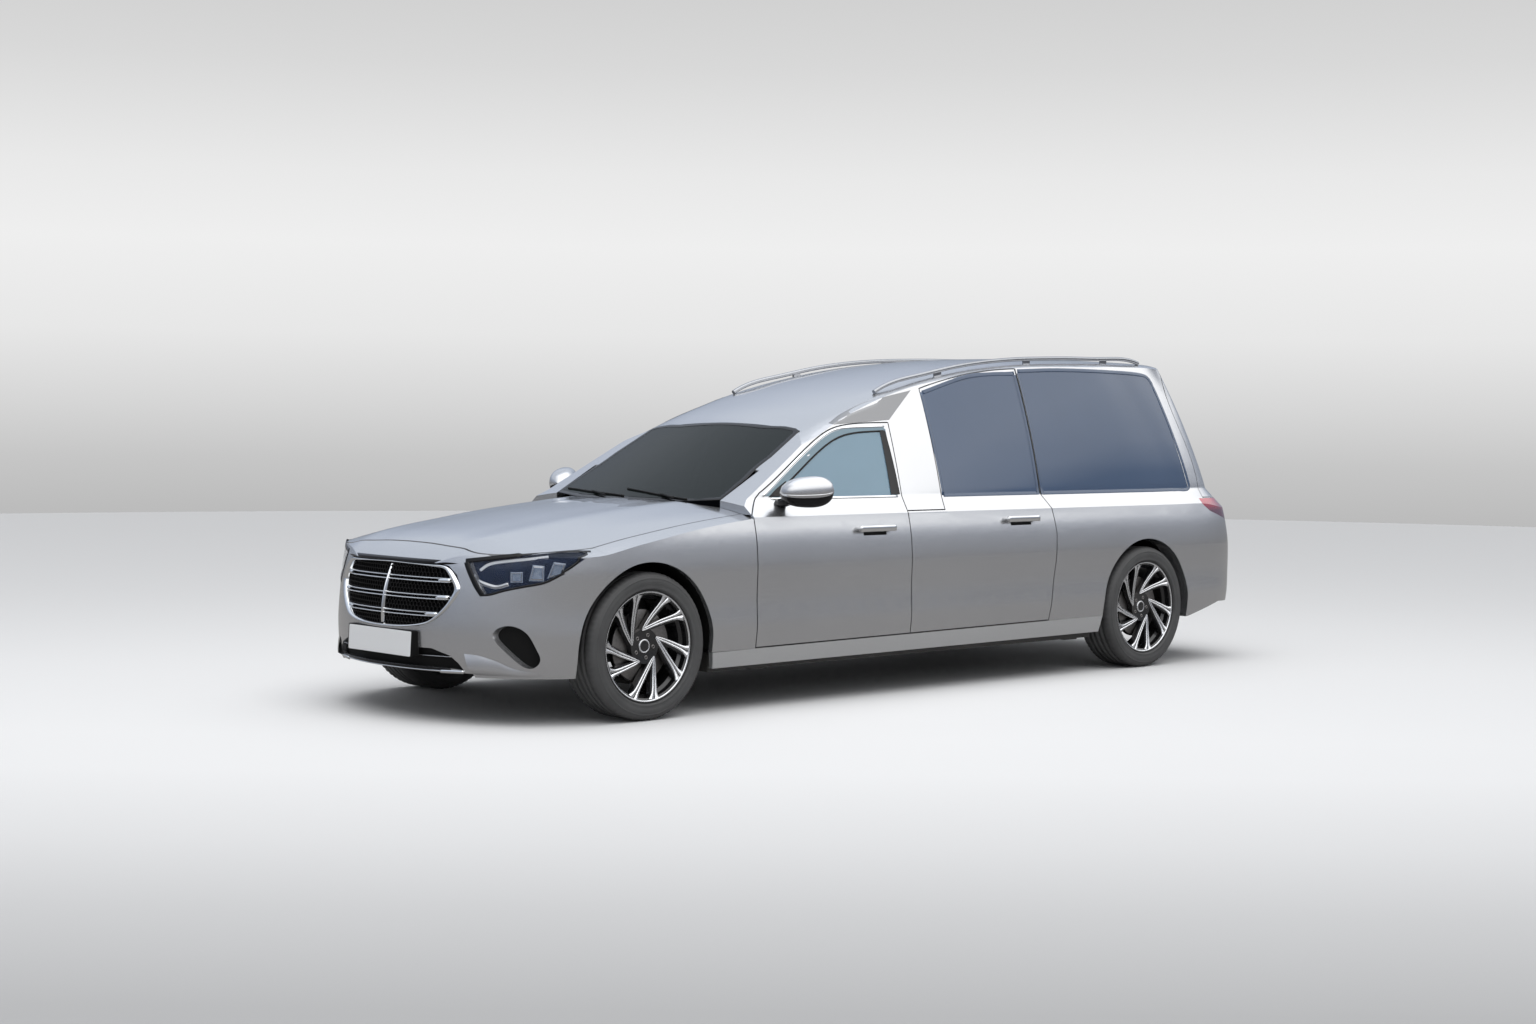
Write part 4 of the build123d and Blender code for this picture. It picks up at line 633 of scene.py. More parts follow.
lip = both_halves([(0.0, 0.247), (0.20, 0.247), (0.38, 0.248), (0.51, 0.250)])
intake = surface_of("front_bumper", "lower_grille")
strip("apron_lip", front_hits(intake, lip, 80), 0.006, 0.006, chrome, "body", "chrome")
lip_cover = both_halves([(0.0, 0.2555), (0.25, 0.2555), (0.44, 0.256)])
strip("apron_cover", front_hits(intake, lip_cover, 60), 0.012, 0.004, piano, "body", "cowl_black")
for side, sign in SIDES:
    lip_end = [(sign * y, 0.245 + 0.02 * (y - 0.38)) for y in (0.385, 0.45, 0.505)]
    strip(f"lip_end_{side}", front_hits(intake, lip_end, 20), 0.018, 0.009, chrome, "body", "chrome")
    blade = [(sign * y, 0.318) for y in (0.253, 0.35, 0.442)]
    strip(f"intake_blade_{side}", front_hits(backing, blade, 20), 0.005, 0.028, chrome, "body", "chrome")
cells, cell_faces = [], []
pitch, wire = 0.022, 0.0032
cell = pitch * 0.62
for row in range(-1, 16):
    for column in range(-24, 25):
        y = (column + 0.5 * (row % 2)) * pitch * 1.05
        z = 0.452 + row * pitch * 0.9
        inside = abs(y) < 0.40 + 0.075 * min(1, max(0, (z - 0.45) / 0.14)) - 0.11 * max(0, (z - 0.69) / 0.06)
        spot, _, _, _ = backing.ray_cast(Vector((ray_end, y, z)), Vector((-1, 0, 0)))
        if not inside or spot is None:
            continue
        base = len(cells)
        for radius, lift in ((cell, 0.001), (cell, 0.008), (cell - wire, 0.008), (cell - wire, 0.001)):
            for k in range(6):
                turn = math.radians(60 * k + 30)
                cells.append((spot.x + lift, y + radius * math.cos(turn), z + radius * math.sin(turn)))
        cell_faces += net(base, 4, 6, ring=True)
add_mesh("grille_mesh", cells, cell_faces, [piano], "body", smooth=False)

for side, sign in SIDES:
    columns, rows, points = 30, 7, []
    brow = smooth_path([(0, 0.520, 0.335), (0, 0.590, 0.328), (0, 0.660, 0.305), (0, 0.720, 0.272),
                        (0, 0.790, 0.255)], columns)
    foot = smooth_path([(0, 0.556, 0.236), (0, 0.620, 0.233), (0, 0.700, 0.232), (0, 0.770, 0.233),
                        (0, 0.806, 0.238)], columns)
    for i in range(rows):
        t = i / (rows - 1)
        for a, b in zip(brow, foot):
            y, z = a.y + (b.y - a.y) * t, a.z + (b.z - a.z) * t
            spot, _, _, _ = intake.ray_cast(Vector((ray_end, sign * y, z)), Vector((-1, 0, 0)))
            swell = math.sin(math.pi * min(1.0, max(0.0, (0.815 - y) / 0.30)) * 0.5)
            x = (spot.x if spot is not None else points[-1][0]) + 0.0015 + 0.026 * swell * t
            points.append((x if t < 1 else x - 0.030, sign * y, z))
    add_mesh(f"bumper_ledge_{side}", points, net(0, rows, columns, down=True, flip=sign < 0), [silver],
             "body")

plate_white, flow, shader = new_finish("blank_plate")
dots = flow.noise(flow.place(), 900.0)
set_shader(shader, Base_Color=dots.mix((0.74, 0.75, 0.76, 1), (0.80, 0.81, 0.82, 1)), Roughness=0.35,
           Coat_Weight=0.5, Normal=flow.bump(dots, 0.05, 0.0002))


def rounded_plate(name, centre, size, depth, lean, finish, body, radius=0.008, backward=False):
    """A thin plate with rounded corners, upright across the car."""
    outline = []
    for sy, sz, turn in ((1, 1, 0), (-1, 1, 90), (-1, -1, 180), (1, -1, 270)):
        for step in range(5):
            angle = math.radians(turn + step * 22.5)
            outline.append((sy * (size[0] / 2 - radius) + radius * math.cos(angle),
                            sz * (size[1] / 2 - radius) + radius * math.sin(angle)))
    points, facing = [], -1 if backward else 1
    rim = min(0.0015, depth / 2)
    for out, inset in ((0, 0), (depth - rim, 0), (depth, rim)):
        for y, z in outline:
            shrink = 1 - inset / (size[1] / 2)
            points.append((centre[0] + facing * out - facing * z * math.tan(lean), centre[1] + y * shrink,
                           centre[2] + z * shrink))
    many = len(outline)
    faces = net(0, 3, many, ring=True)
    faces += [tuple(range(many - 1, -1, -1)), tuple(range(2 * many, 3 * many))]
    return add_mesh(name, points, faces, [finish], body, smooth=False)


plate_lean = math.radians(3)
plate_middle = 0.3655
rounded_plate("front_plate_bracket", (2.862, 0, plate_middle), (0.538, 0.126), 0.042, plate_lean,
              moulded, "body")
rounded_plate("front_plate", (2.9035, 0, plate_middle), (0.520, 0.117), 0.0035, plate_lean,
              plate_white, "body")
rounded_plate("front_plate_border", (2.9045, 0, plate_middle), (0.508, 0.105), 0.0035, plate_lean,
              plate_white, "body", radius=0.012)

# ------------------------------------------------------------------ headlamps
# A smoked clear cover over a blue-black housing, with a bright day-light bar under
# the brow, three projector blocks, and a thin black seal round the opening.
cover, flow, shader = new_finish("lamp_cover")
film = flow.noise(flow.place(), 3.0)
set_shader(shader, Base_Color=film.mix((0.05, 0.07, 0.12, 1), (0.07, 0.09, 0.15, 1)), Roughness=film * 0.02,
           Specular_IOR_Level=0.35, Coat_Weight=0.3, Alpha=0.14 + film * 0.03)
paint_node(cover, "headlamp_covers")
reflector = grained("lamp_housing", 25.0, (0.006, 0.010, 0.022), (0.018, 0.034, 0.085), 0.1, 0.12,
                    detail=1.0, Metallic=0.5)
paint_node(reflector, "headlamp_housings")
light_bar, flow, shader = new_finish("light_guide")
ribs = flow.place().parts()[1].wave(900.0)
set_shader(shader, Base_Color=ribs.mix((0.80, 0.83, 0.88, 1), (0.95, 0.96, 1.0, 1)),
           Roughness=0.12, Coat_Weight=1.0, Emission_Color=(0.9, 0.95, 1.0), Emission_Strength=0.25)
lens_blue, flow, shader = new_finish("projector_lens")
ribs = flow.noise(flow.place(), 60.0, 1.0)
set_shader(shader, Base_Color=ribs.mix((0.24, 0.32, 0.46, 1), (0.60, 0.68, 0.80, 1)), Roughness=0.15,
           Coat_Weight=1.0)
lamps = surface_of("headlamp_housings")
skin = surface_of("headlamp_covers", "front_bumper", "front_wings", "bonnet")
day_bar = [(2.731, 0.565, 0.720), (2.714, 0.589, 0.742), (2.700, 0.612, 0.753), (2.670, 0.657, 0.763),
           (2.605, 0.747, 0.776), (2.525, 0.812, 0.788)]
day_hook = [(2.748, 0.518, 0.741), (2.749, 0.523, 0.727), (2.747, 0.537, 0.711)]
shelf = [(2.749, 0.541, 0.681), (2.730, 0.585, 0.662), (2.697, 0.643, 0.646), (2.664, 0.692, 0.660)]
blocks = [((2.655, 0.696, 0.717), (2.619, 0.742, 0.718), (2.621, 0.744, 0.669), (2.658, 0.700, 0.668)),
          ((2.585, 0.772, 0.751), (2.548, 0.811, 0.747), (2.553, 0.814, 0.676), (2.601, 0.764, 0.677)),
          ((2.514, 0.837, 0.765), (2.467, 0.868, 0.757), (2.485, 0.859, 0.704), (2.541, 0.823, 0.689))]
for side, sign in SIDES:
    watcher = Vector((eye.x, sign * eye.y, eye.z))

    def behind_cover(spots):
        """Where the cover's points fall on the housing, seen from the front corner."""
        found = []
        for px, py, pz in spots:
            spot = Vector((px, sign * py, pz))
            sight = (spot - watcher).normalized()
            hit, _, _, reach = lamps.ray_cast(spot - sight * 0.04, sight)
            deep = min(reach - 0.04, 0.055) if hit is not None else 0.030
            found.append((spot, sight, deep))
        depths = [deep for _, _, deep in found]
        near = [depths[max(0, i - 3):i + 4] for i in range(len(depths))]
        even = [sum(some) / len(some) for some in near]
        return [(spot + sight * (deep - 0.004), -sight) for (spot, sight, _), deep in zip(found, even)]

    for name, path, width, finish in (("day_light", day_bar, 0.013, light_bar),
                                      ("day_light_hook", day_hook, 0.009, light_bar),
                                      ("lamp_shelf", shelf, 0.020, chrome)):
        strip(f"{name}_{side}", behind_cover(smooth_path(path, 30)), width, 0.007, finish,
              "body", "lamp_housing")
    for number, corners in enumerate(blocks):
        points = []
        centre = sum((Vector(corner) for corner in corners), Vector()) / 4
        for out, inset in ((-0.010, 0.0), (0.006, 0.0), (0.009, 0.12), (0.009, 0.30), (0.002, 0.36)):
            for spot, facing in behind_cover([Vector(corner).lerp(centre, inset) for corner in corners]):
                points.append(spot + facing * out)
        faces = net(0, 5, 4, ring=True, flip=sign > 0)
        faces.append((16, 17, 18, 19)[::-sign])
        add_mesh(f"projector_{number}_{side}", points, faces, [chrome, lens_blue], "body",
                 smooth=False, pick=lambda index: 0 if 8 <= index < 12 else 1)
    for name, width, edge in (
            ("top", 0.021, [(0.489, 0.762), (0.600, 0.777), (0.709, 0.793), (0.800, 0.810), (0.862, 0.809)]),
            ("tip", 0.012, [(0.850, 0.807), (0.880, 0.797), (0.896, 0.778), (0.886, 0.748), (0.862, 0.715)]),
            ("under", 0.011, [(0.868, 0.714), (0.818, 0.671), (0.748, 0.650), (0.679, 0.631), (0.626, 0.612),
                              (0.580, 0.607)]),
            ("inner", 0.026, [(0.590, 0.609), (0.562, 0.645), (0.530, 0.695), (0.494, 0.757)])):
        hits = front_hits(skin, [(sign * y, z) for y, z in edge], 40)
        strip(f"lamp_seal_{name}_{side}", hits, width, 0.002, piano, "body", "cowl_black")

# ------------------------------------------------------------------ tail lamps and rear apron
# Red moulded lamps with a smoked lower half, a bright bar between them on the lid,
# a blank plate, reflectors, and a black diffuser with a bright edge.
lamp_red, flow, shader = new_finish("tail_lens")
height = flow.place().parts()[2]
grooves = height.wave(900.0)
set_shader(shader, Base_Color=((height - 0.90) * 14.0).clipped().mix(
    (0.10, 0.012, 0.05, 1), (0.62, 0.020, 0.045, 1)), Roughness=0.08, Coat_Weight=1.0,
    Normal=flow.bump(grooves, 0.15, 0.0008))
paint_node(lamp_red, "tail_lamps")
rear = surface_of("tailgate", "rear_bumper", "tail_lamps")


def rear_hits(path, count):
    return land(rear, smooth_path([(0, y, z) for y, z in path], count), lambda p: (-ray_end, p.y, p.z),
                (1, 0, 0))


strip("tailgate_bar", rear_hits([(-0.57, 0.935), (0, 0.940), (0.57, 0.935)], 60), 0.016, 0.006, chrome,
      "tailgate", "chrome")
strip("tailgate_lip", rear_hits([(-0.55, 0.845), (0, 0.850), (0.55, 0.845)], 60), 0.010, 0.010, chrome,
      "tailgate", "chrome")
plate_z, plate_slope = 0.770, math.radians(-18)
spot, _, _, _ = rear.ray_cast(Vector((-ray_end, 0, plate_z)), Vector((1, 0, 0)))
rounded_plate("rear_plate_recess", (spot.x - 0.002, 0, plate_z), (0.545, 0.130), 0.008, plate_slope,
              piano, "tailgate", backward=True)
rounded_plate("rear_plate", (spot.x - 0.009, 0, plate_z), (0.520, 0.110), 0.003, plate_slope,
              plate_white, "tailgate", backward=True)
strip("diffuser_edge", rear_hits([(-0.60, 0.372), (0, 0.366), (0.60, 0.372)], 60), 0.014, 0.006,
      chrome, "body", "chrome")
strip("diffuser_panel", rear_hits([(-0.60, 0.400), (0, 0.396), (0.60, 0.400)], 60), 0.050, 0.004, moulded,
      "body", "cowl_black")
for side, sign in SIDES:
    strip(f"reflector_{side}", rear_hits([(sign * 0.48, 0.452), (sign * 0.66, 0.458)], 20), 0.024, 0.004,
          lamp_red, "body", "tail_lens")
seal_path = [(0.652, 1.062), (0.560, 1.640), (0.520, 1.672), (0.400, 1.683), (0, 1.694), (-0.400, 1.683),
             (-0.520, 1.672), (-0.560, 1.640), (-0.652, 1.062), (0, 1.052), (0.652, 1.062)]
back_glass = surface_of("tailgate_glass", "tailgate")
hits = land(back_glass, smooth_path([(0, y, z) for y, z in seal_path], 160)[:-1],
            lambda p: (-ray_end, p.y, p.z), (1, 0, 0))
strip("rear_window_seal", hits, 0.016, 0.002, rubber, "tailgate", "cowl_black", closed=True)

# ------------------------------------------------------------------ tyres
# Low-profile radials: four round grooves, sipes over the shoulders, a rim-guard rib
# and fine rings on the side wall.
tyre_rubber, flow, shader = new_finish("tyre_rubber")
where = flow.place()
dust, pores = flow.noise(where, 9.0, 4.0), flow.noise(where, 500.0)
set_shader(shader, Base_Color=dust.mix((0.040, 0.040, 0.041, 1), (0.090, 0.090, 0.090, 1)),
           Roughness=dust * 0.15 + 0.55, Normal=flow.bump(pores, 0.2, 0.0006))
groove_edges = []
for middle in (-0.055, -0.019, 0.019, 0.055):
    groove_edges += [(0.3518, middle - 0.0052), (0.3445, middle - 0.0040), (0.3445, middle + 0.0040),
                     (0.3518, middle + 0.0052)]
wall = [(0.2545, 0.072), (0.2545, 0.094), (0.2565, 0.0985), (0.2684, 0.1005), (0.2715, 0.1120),
        (0.2745, 0.1180), (0.2790, 0.1195), (0.2830, 0.1180), (0.2950, 0.1205), (0.3050, 0.1222),
        (0.3150, 0.1212), (0.3215, 0.1195), (0.3225, 0.1202), (0.3240, 0.1202), (0.3250, 0.1185),
        (0.3330, 0.1150), (0.3400, 0.1105), (0.3462, 0.1040), (0.3500, 0.0960), (0.3516, 0.0880),
        (0.3520, 0.0780)]
profile = [(r, -y) for r, y in wall] + groove_edges + wall[::-1]
inside = [(0.340, 0.060), (0.334, 0.092), (0.312, 0.108), (0.285, 0.100)]
profile += [(r, y) for r, y in inside[::-1]] + [(r, -y) for r, y in inside]
steps = 216
ends = {"front": 2.015, "rear": -1.785}
hub_height, hub_offset = 0.352, 0.817


def turned(name, profile, steps, centre, sign, finishes, body, shape=None, pick=None, closed=True):
    """A ring turned about a wheel's axle; y in the profile points away from the car."""
    points = []
    for i in range(steps):
        angle = 2 * math.pi * i / steps
        for r, y in profile:
            if shape:
                r = shape(i, r, y)
            points.append((centre[0] + r * math.cos(angle), centre[1] + sign * y,
                           centre[2] + r * math.sin(angle)))
    faces = net(0, steps, len(profile), ring=closed, around=True, flip=sign < 0)
    return add_mesh(name, points, faces, finishes, body, pick=pick)


def sipes(i, r, y):
    """Cut the shoulder blocks apart every third step."""
    return r - 0.0035 if i % 3 == 0 and abs(y) > 0.066 and r > 0.3455 else r


for end, axle in ends.items():
    for side, sign in SIDES:
        tyre = turned(f"tread_{end}_{side}", profile, steps, (axle, sign * hub_offset, hub_height), sign,
                      [tyre_rubber], f"{end}_wheel_{side}", shape=sipes)
        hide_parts(f"tyre_{end}_{side}")

# ------------------------------------------------------------------ wheels
# Cast alloy, gloss black with machined faces: five pairs of spokes that leave the
# hub in narrow V points, sweep back, and flare where they meet the rim.
black_alloy = grained("black_alloy", 1200.0, (0.010, 0.010, 0.011), (0.028, 0.028, 0.030), 0.08, 0.2,
                      Metallic=0.4, Coat_Weight=0.7)
machined = grained("machined_alloy", 2200.0, (0.72, 0.73, 0.75), (0.86, 0.87, 0.89), 0.08, 0.22,
                   detail=1.0, Metallic=0.85, Coat_Weight=0.8, Coat_Roughness=0.03)
iron = grained("brake_iron", 90.0, (0.16, 0.15, 0.15), (0.30, 0.29, 0.28), 0.2, 0.3, Metallic=1.0)
rim_section = [(0.2535, 0.0995), (0.2545, 0.1042), (0.2570, 0.1062), (0.2640, 0.1078), (0.2640, 0.1060),
               (0.2570, 0.0995)]
cap_section = [(0.0005, 0.0790), (0.018, 0.0788), (0.0265, 0.0775), (0.0275, 0.0782), (0.0315, 0.0782),
               (0.0330, 0.0765), (0.0330, 0.0640)]
disc_section = [(0.085, 0.0470), (0.168, 0.0470), (0.174, 0.0455)]
bolt_section = [(0.0105, 0.060), (0.0105, 0.0745), (0.0085, 0.0765), (0.0055, 0.0765), (0.0050, 0.0715),
                (0.0005, 0.0715)]
face_radius = 0.2575
face_stops = ((0.050, 0.074), (0.150, 0.084), (0.236, 0.099), (0.256, 0.1015))
spoke_stops = ((0.0, 0.0035), (0.12, 0.0085), (0.45, 0.0115), (0.75, 0.0135), (0.88, 0.018), (1.0, 0.034))


def read(stops, t):
    """Straight-line value at t through (t, value) stops."""
    for (a, u), (b, v) in zip(stops, stops[1:]):
        if t <= b:
            return u + (v - u) * max(0.0, (t - a) / (b - a))
    return stops[-1][1]


def polar(radius, degrees):
    return Vector((radius * math.cos(math.radians(degrees)), radius * math.sin(math.radians(degrees))))


def spoke_face(points, faces, kinds, root, sweep, place):
    """One machined spoke face, split by a black groove down its middle."""
    first, last = polar(0.078, root), polar(0.2555, root - sweep)
    section = ((-1.0, -0.006, 0), (-0.97, 0.0012, 1), (-0.10, 0.0018, 0), (-0.10, -0.0015, 0),
               (0.10, -0.0015, 0), (0.10, 0.0018, 1), (0.97, 0.0012, 0), (1.0, -0.006, 0))
    stations, base = 15, len(points)
    across = Vector((first.y - last.y, last.x - first.x)).normalized()
    for i in range(stations):
        t = i / (stations - 1)
        bow = math.sin(math.pi * t) * 0.004
        middle = first.lerp(last, t) + across * bow
        for u, lift, _ in section:
            spot = middle + across * (u * read(spoke_stops, t))
            if spot.length > face_radius:
                spot = spot.normalized() * face_radius
            groove = lift if abs(u) > 0.5 or read(spoke_stops, t) > 0.006 else 0.0012
            points.append(place(spot, read(face_stops, spot.length) + 0.0016 + groove))
    faces += net(base, stations, len(section))
    kinds += [kind for _, _, kind in section[:-1]] * (stations - 1)


for end, axle in ends.items():
    for side, sign in SIDES:
        body, centre = f"{end}_wheel_{side}", (axle, sign * hub_offset, hub_height)

        def place(spot, out):
            """x of the wheel face runs forward-to-back seen from outside; out leaves the car."""
            return (centre[0] - spot.x, centre[1] + sign * out, centre[2] + spot.y)

        points, faces, kinds = [], [], []
        for turn in range(5):
            for sweep in (39, 68.5):
                spoke_face(points, faces, kinds, 102 - 72 * turn, sweep, place)
        if sign > 0:
            faces = [face[::-1] for face in faces]
        add_mesh(f"spoke_faces_{end}_{side}", points, faces, [black_alloy, machined], body,
                 pick=lambda index: kinds[index])
        turned(f"rim_edge_{end}_{side}", rim_section, 120, centre, sign, [machined], body)
        turned(f"hub_cap_{end}_{side}", cap_section, 48, centre, sign, [machined, black_alloy],
               body, pick=lambda index: 1 if index % 6 < 2 else 0, closed=False)
        turned(f"brake_disc_{end}_{side}", disc_section, 90, centre, sign, [iron], body,
               closed=False)
        for bolt in range(5):
            middle = polar(0.056, 66 + 72 * bolt)
            points = []
            for radius, out in bolt_section:
                for k in range(12):
                    points.append(place(middle + polar(radius, 30 * k), out))
            faces = net(0, 6, 12, ring=True, flip=sign > 0)
            add_mesh(f"wheel_bolt_{bolt}_{end}_{side}", points, faces, [iron], body)
        paint_node(black_alloy, f"wheel_{end}_{side}")

# ------------------------------------------------------------------ roof rails
# Grey metal rails on closed feet, drawn lengthwise so that they streak a little.
polished = grained("polished_rail", 1.0, (0.30, 0.31, 0.33), (0.38, 0.39, 0.41), 0.08, 0.16,
                   stretch=(3, 500, 500), Metallic=1.0)
paint_node(polished, "roof_rails")

# ------------------------------------------------------------------ windscreen wipers
# Two black flat-blade wipers parked across the foot of the windscreen, and a black
# printed border round the glass.
screen = surface_of("windscreen")


def screen_hits(path, count):
    return land(screen, smooth_path([(px, py, 0) for px, py in path], count), lambda p: (p.x, p.y, ray_top),
                (0, 0, -1))


border = [(1.408, 0.0), (1.392, 0.30), (1.322, 0.640), (1.05, 0.614), (0.735, 0.582), (0.722, 0.30),
          (0.712, 0.0)]
border += [(px, -py) for px, py in border[-2:0:-1]]
loop = smooth_path([(px, py, 0) for px, py in border + border[:1]], 180)[:-1]
hits = land(screen, loop, lambda p: (p.x, p.y, ray_top), (0, 0, -1))
strip("screen_border", hits, 0.030, 0.0012, piano, "body", "cowl_black", closed=True)
for name, pivot, tip, start in (("left", (1.412, 0.455), (1.330, -0.060), (1.372, 0.560)),
                                ("right", (1.416, -0.150), (1.300, -0.595), (1.392, -0.020))):
    mid_x, mid_y = (start[0] + tip[0]) / 2, (start[1] + tip[1]) / 2
    blade = screen_hits([start, (mid_x + 0.012, mid_y), tip], 30)
    strip(f"wiper_blade_{name}", blade, 0.009, 0.009, rubber, "body", "cowl_black")
    arm = screen_hits([(pivot[0] - 0.014, pivot[1]), (mid_x + 0.014, mid_y)], 16)
    raised = [(spot + normal * 0.010, normal) for spot, normal in arm]
    strip(f"wiper_arm_{name}", raised, 0.012, 0.005, moulded, "body", "cowl_black")

# ------------------------------------------------------------------ door mirrors
# Painted shell over a black lower half, parted by a thin bright line, on a short
# black foot that leaves the front corner of the door.
for side, sign in SIDES:
    inner, outer = Vector((1.143, 0.893)), Vector((0.921, 1.057))    # plan line through the shell
    along = (outer - inner).normalized()
    across = Vector((-along.y, along.x))
    if across.y < 0:
        across = -across
    half, points = (outer - inner).length / 2, []
    middle = (inner + outer) / 2
    rows, columns, mirror_z = 25, 40, 1.068
    for i in range(rows):
        t = -1 + 2 * i / (rows - 1)
        fullness = max(0.0, 1 - abs(t) ** 2.6) ** 0.5
        depth = 0.069 * fullness * (1.0 - 0.12 * t)
        for j in range(columns):
            angle = 2 * math.pi * j / columns
            cy, cz = math.cos(angle), math.sin(angle)
            u = math.copysign(abs(cy) ** 0.85, cy) * depth
            v = math.copysign(abs(cz) ** 0.9, cz) * 0.078 * fullness * (1 + 0.10 * t)
            spot = middle + along * (t * half) + across * u
            points.append((spot.x, sign * spot.y, mirror_z + v + 0.006 * t))
    faces = net(0, rows, columns, ring=True, flip=sign < 0)

    def half_shell(index):
        angle = 2 * math.pi * ((index % columns) + 0.5) / columns
        return 0 if math.sin(angle) > -0.30 else 1

    shell = add_mesh(f"mirror_shell_{side}", points, faces, [silver, piano], f"front_door_{side}",
                     pick=half_shell)
    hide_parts(f"mirror_{side}")
    line = []
    for j, step in ((39, 1), (21, -1)):
        run = []
        for i in range(1, rows - 1):
            spot = Vector(points[i * columns + j])
            reach = (-1 + 2 * i / (rows - 1)) * half
            line_way = Vector((along.x, sign * along.y, 0))
            centre = Vector((middle.x, sign * middle.y, mirror_z)) + line_way * reach
            run.append((spot, (spot - centre).normalized()))
        line += run[::step]
    strip(f"mirror_line_{side}", line, 0.005, 0.002, chrome, f"front_door_{side}", "chrome", closed=True)
    foot_points = []
    foot = [((1.090, 0.835), 0.036, 0.026, 1.006), ((1.088, 0.875), 0.034, 0.023, 1.014),
            ((1.078, 0.915), 0.034, 0.022, 1.026), ((1.055, 0.950), 0.038, 0.024, 1.042)]
    for (px, py), wide, tall, pz in foot:
        for j in range(20):
            a = 2 * math.pi * j / 20
            foot_points.append((px + wide * math.cos(a), sign * py, pz + tall * math.sin(a)))
    foot_faces = net(0, 4, 20, ring=True, flip=sign > 0)
    foot_faces += [tuple(range(20)), tuple(range(79, 59, -1))]
    add_mesh(f"mirror_foot_{side}", foot_points, foot_faces, [piano], f"front_door_{side}")

# ------------------------------------------------------------------ cabin
# Two black leather seats, a soft-grained dashboard with its screens, a leather
# steering wheel, and a lined partition behind the seats.
leather, flow, shader = new_finish("black_leather")
where = flow.place()
hide = flow.node("TexVoronoi", {"feature": "DISTANCE_TO_EDGE"}, {"Vector": where, "Scale": 420.0})
creases = (hide * 6.0).clipped()
set_shader(shader, Base_Color=creases.mix((0.010, 0.010, 0.011, 1), (0.030, 0.030, 0.032, 1)),
           Roughness=0.62 - creases * 0.14, Normal=flow.bump(creases, 0.35, 0.0008))
lining, flow, shader = new_finish("grey_lining")
where = flow.place()
px, _, pz = where.parts()
weave = px.wave(2600.0) * pz.wave(2600.0)
set_shader(shader, Base_Color=weave.mix((0.10, 0.10, 0.11, 1), (0.17, 0.17, 0.18, 1)), Roughness=0.9,
           Sheen_Weight=0.3, Normal=flow.bump(weave, 0.3, 0.0005))
soft_grain = grained("dash_grain", 650.0, (0.012, 0.012, 0.013), (0.028, 0.028, 0.030), 0.2, 0.55,
                     relief=(0.3, 0.0006))
paint_node(soft_grain, "dashboard")
paint_node(leather, "steering_wheel")
paint_node(lining, "partition")


def pad(name, low, high, lean, body, channels, crown):
    """A stuffed seat pad with sewn channels, as a subdivided closed form inside its box."""
    across, along = 20, 24
    size = [b - a for a, b in zip(low, high)]
    points, faces = [], []
    for top in (0, 1):
        for i in range(along + 1):
            for j in range(across + 1):
                u, v = -1 + 2 * i / along, -1 + 2 * j / across
                edge = max(0.0, (1 - abs(u) ** 6)) ** 0.5 * max(0.0, (1 - abs(v) ** 6)) ** 0.5
                seam = 0.0
                for channel in channels:
                    seam = max(seam, math.exp(-((u - channel) / 0.035) ** 2) * (1 if abs(v) < 0.62 else 0))
                seam = max(seam, math.exp(-((abs(v) - 0.64) / 0.03) ** 2))
                bolster = crown * (0.8 if abs(v) > 0.64 else 0.25 * (1 - (v / 0.64) ** 2))
                lift = 0.5 * edge + (bolster - 0.10 * seam) * edge * (1 if top else 0)
                w = lift if top else -0.5 * edge
                points.append((u * size[0] / 2, v * size[1] / 2, w * size[2] / (1 + crown)))
    row = across + 1
    sheet = (along + 1) * row
    for i in range(along):
        for j in range(across):
            a = i * row + j
            faces.append((a, a + row, a + row + 1, a + 1))
            faces.append((sheet + a, sheet + a + 1, sheet + a + row + 1, sheet + a + row))
    ring = [j for j in range(row)] + [i * row + across for i in range(1, along + 1)]
    ring += [along * row + j for j in range(across - 1, -1, -1)] + [i * row for i in range(along - 1, 0, -1)]
    for a, b in zip(ring, ring[1:] + ring[:1]):
        faces.append((a, b, sheet + b, sheet + a))
    middle = Vector([(a + b) / 2 for a, b in zip(low, high)])
    turn = Matrix.Rotation(lean, 4, "Y")
    placed = [middle + turn @ Vector(p) for p in points]
    made = add_mesh(name, placed, faces, [leather], body)
    bm = bmesh.new()
    bm.from_mesh(made.data)
    bmesh.ops.remove_doubles(bm, verts=bm.verts, dist=0.0002)
    bmesh.ops.recalc_face_normals(bm, faces=bm.faces)
    bm.to_mesh(made.data)
    bm.free()
    made.modifiers.new("rounding", "SUBSURF").levels = 1
    made.modifiers["rounding"].render_levels = 1
    return made


cushions, backs = [], []
for side, sign in SIDES:
    y = sign * 0.40
    cushions.append(pad(f"seat_cushion_{side}", (0.310, y - 0.250, 0.380), (0.815, y + 0.250, 0.520),
                        0, "body", (-0.35, 0.0, 0.35), 0.5))
    backs.append(pad(f"seat_back_{side}", (-0.165, y - 0.240, 0.660), (0.435, y + 0.240, 0.800),
                     math.radians(-70), "body", (-0.45, -0.1, 0.25), 0.4))
    backs.append(pad(f"head_rest_{side}", (-0.075, y - 0.125, 1.025), (0.085, y + 0.125, 1.125),
                     math.radians(-72), "body", (), 0.3))
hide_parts("seat_cushions")
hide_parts("seat_backs")

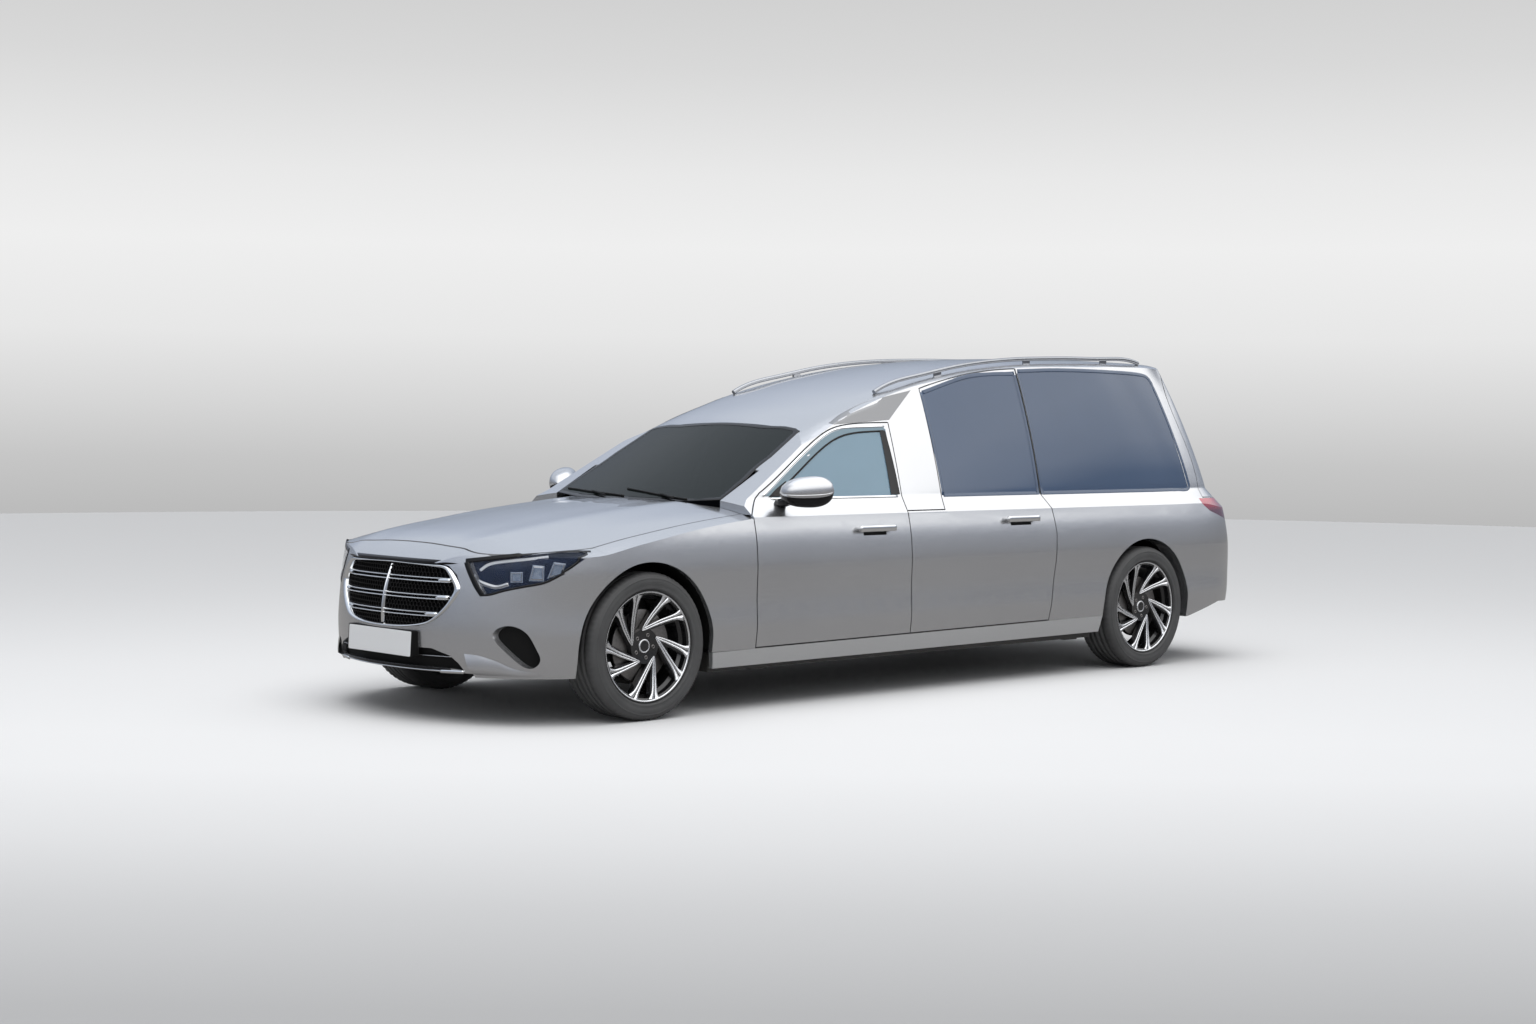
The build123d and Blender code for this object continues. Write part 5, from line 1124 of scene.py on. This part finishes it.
screen_glow, flow, shader = new_finish("dash_screen")
glare = flow.noise(flow.place(), 14.0, 1.0)
set_shader(shader, Base_Color=glare.mix((0.004, 0.006, 0.012, 1), (0.010, 0.016, 0.035, 1)), Roughness=0.08,
           Coat_Weight=1.0)
screen_lean = math.radians(-20)
rounded_plate("driver_screen", (0.972, 0.370, 1.005), (0.300, 0.105), 0.010, screen_lean,
              screen_glow, "body", backward=True)
rounded_plate("centre_screen", (0.930, 0.020, 0.965), (0.330, 0.180), 0.010, screen_lean,
              screen_glow, "body", backward=True)

# ------------------------------------------------------------------ load space
# A varnished board deck, with steel runners and a row of rollers for the coffin.
board, flow, shader = new_finish("varnished_board")
where = flow.place()
across_board = where.parts()[1]
stretched = where.node("VectorMath", {"operation": "MULTIPLY"}, {0: where, 1: (1.2, 26, 26)})
grain_lines = flow.noise(stretched, 3.0, 6.0)
joints_mask = (across_board * 8.0).maths("FRACT") > 0.03
timber = grain_lines.mix((0.055, 0.026, 0.012, 1), (0.19, 0.095, 0.045, 1))
set_shader(shader, Base_Color=joints_mask.mix((0.015, 0.008, 0.004, 1), timber),
           Roughness=grain_lines * 0.2 + 0.2, Coat_Weight=0.5,
           Normal=flow.bump(joints_mask, 0.4, 0.001))
paint_node(board, "coffin_deck")
for number, y in enumerate((0.25, -0.25)):
    points = []
    for px in (-0.145, -2.640):
        points += [(px, y - 0.0205, 0.6405), (px, y - 0.0205, 0.6525), (px, y - 0.0165, 0.6545),
                   (px, y + 0.0165, 0.6545), (px, y + 0.0205, 0.6525), (px, y + 0.0205, 0.6405)]
    faces = net(0, 2, 6, ring=True)
    faces += [(5, 4, 3, 2, 1, 0), (6, 7, 8, 9, 10, 11)]
    add_mesh(f"deck_runner_{number}", points, faces, [pipe_steel], "body", smooth=False)
roller_section = [(0.0005, -0.17), (0.011, -0.17), (0.0125, -0.165), (0.0125, 0.165), (0.011, 0.17),
                  (0.0005, 0.17)]
for number in range(9):
    turned(f"deck_roller_{number}", roller_section, 20, (-0.30 - 0.28 * number, 0, 0.6425), 1,
           [rubber, pipe_steel], "body", closed=False,
           pick=lambda index: 1 if index % 6 in (0, 1, 3, 4) else 0)

# ------------------------------------------------------------------ sizes
low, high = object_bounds()
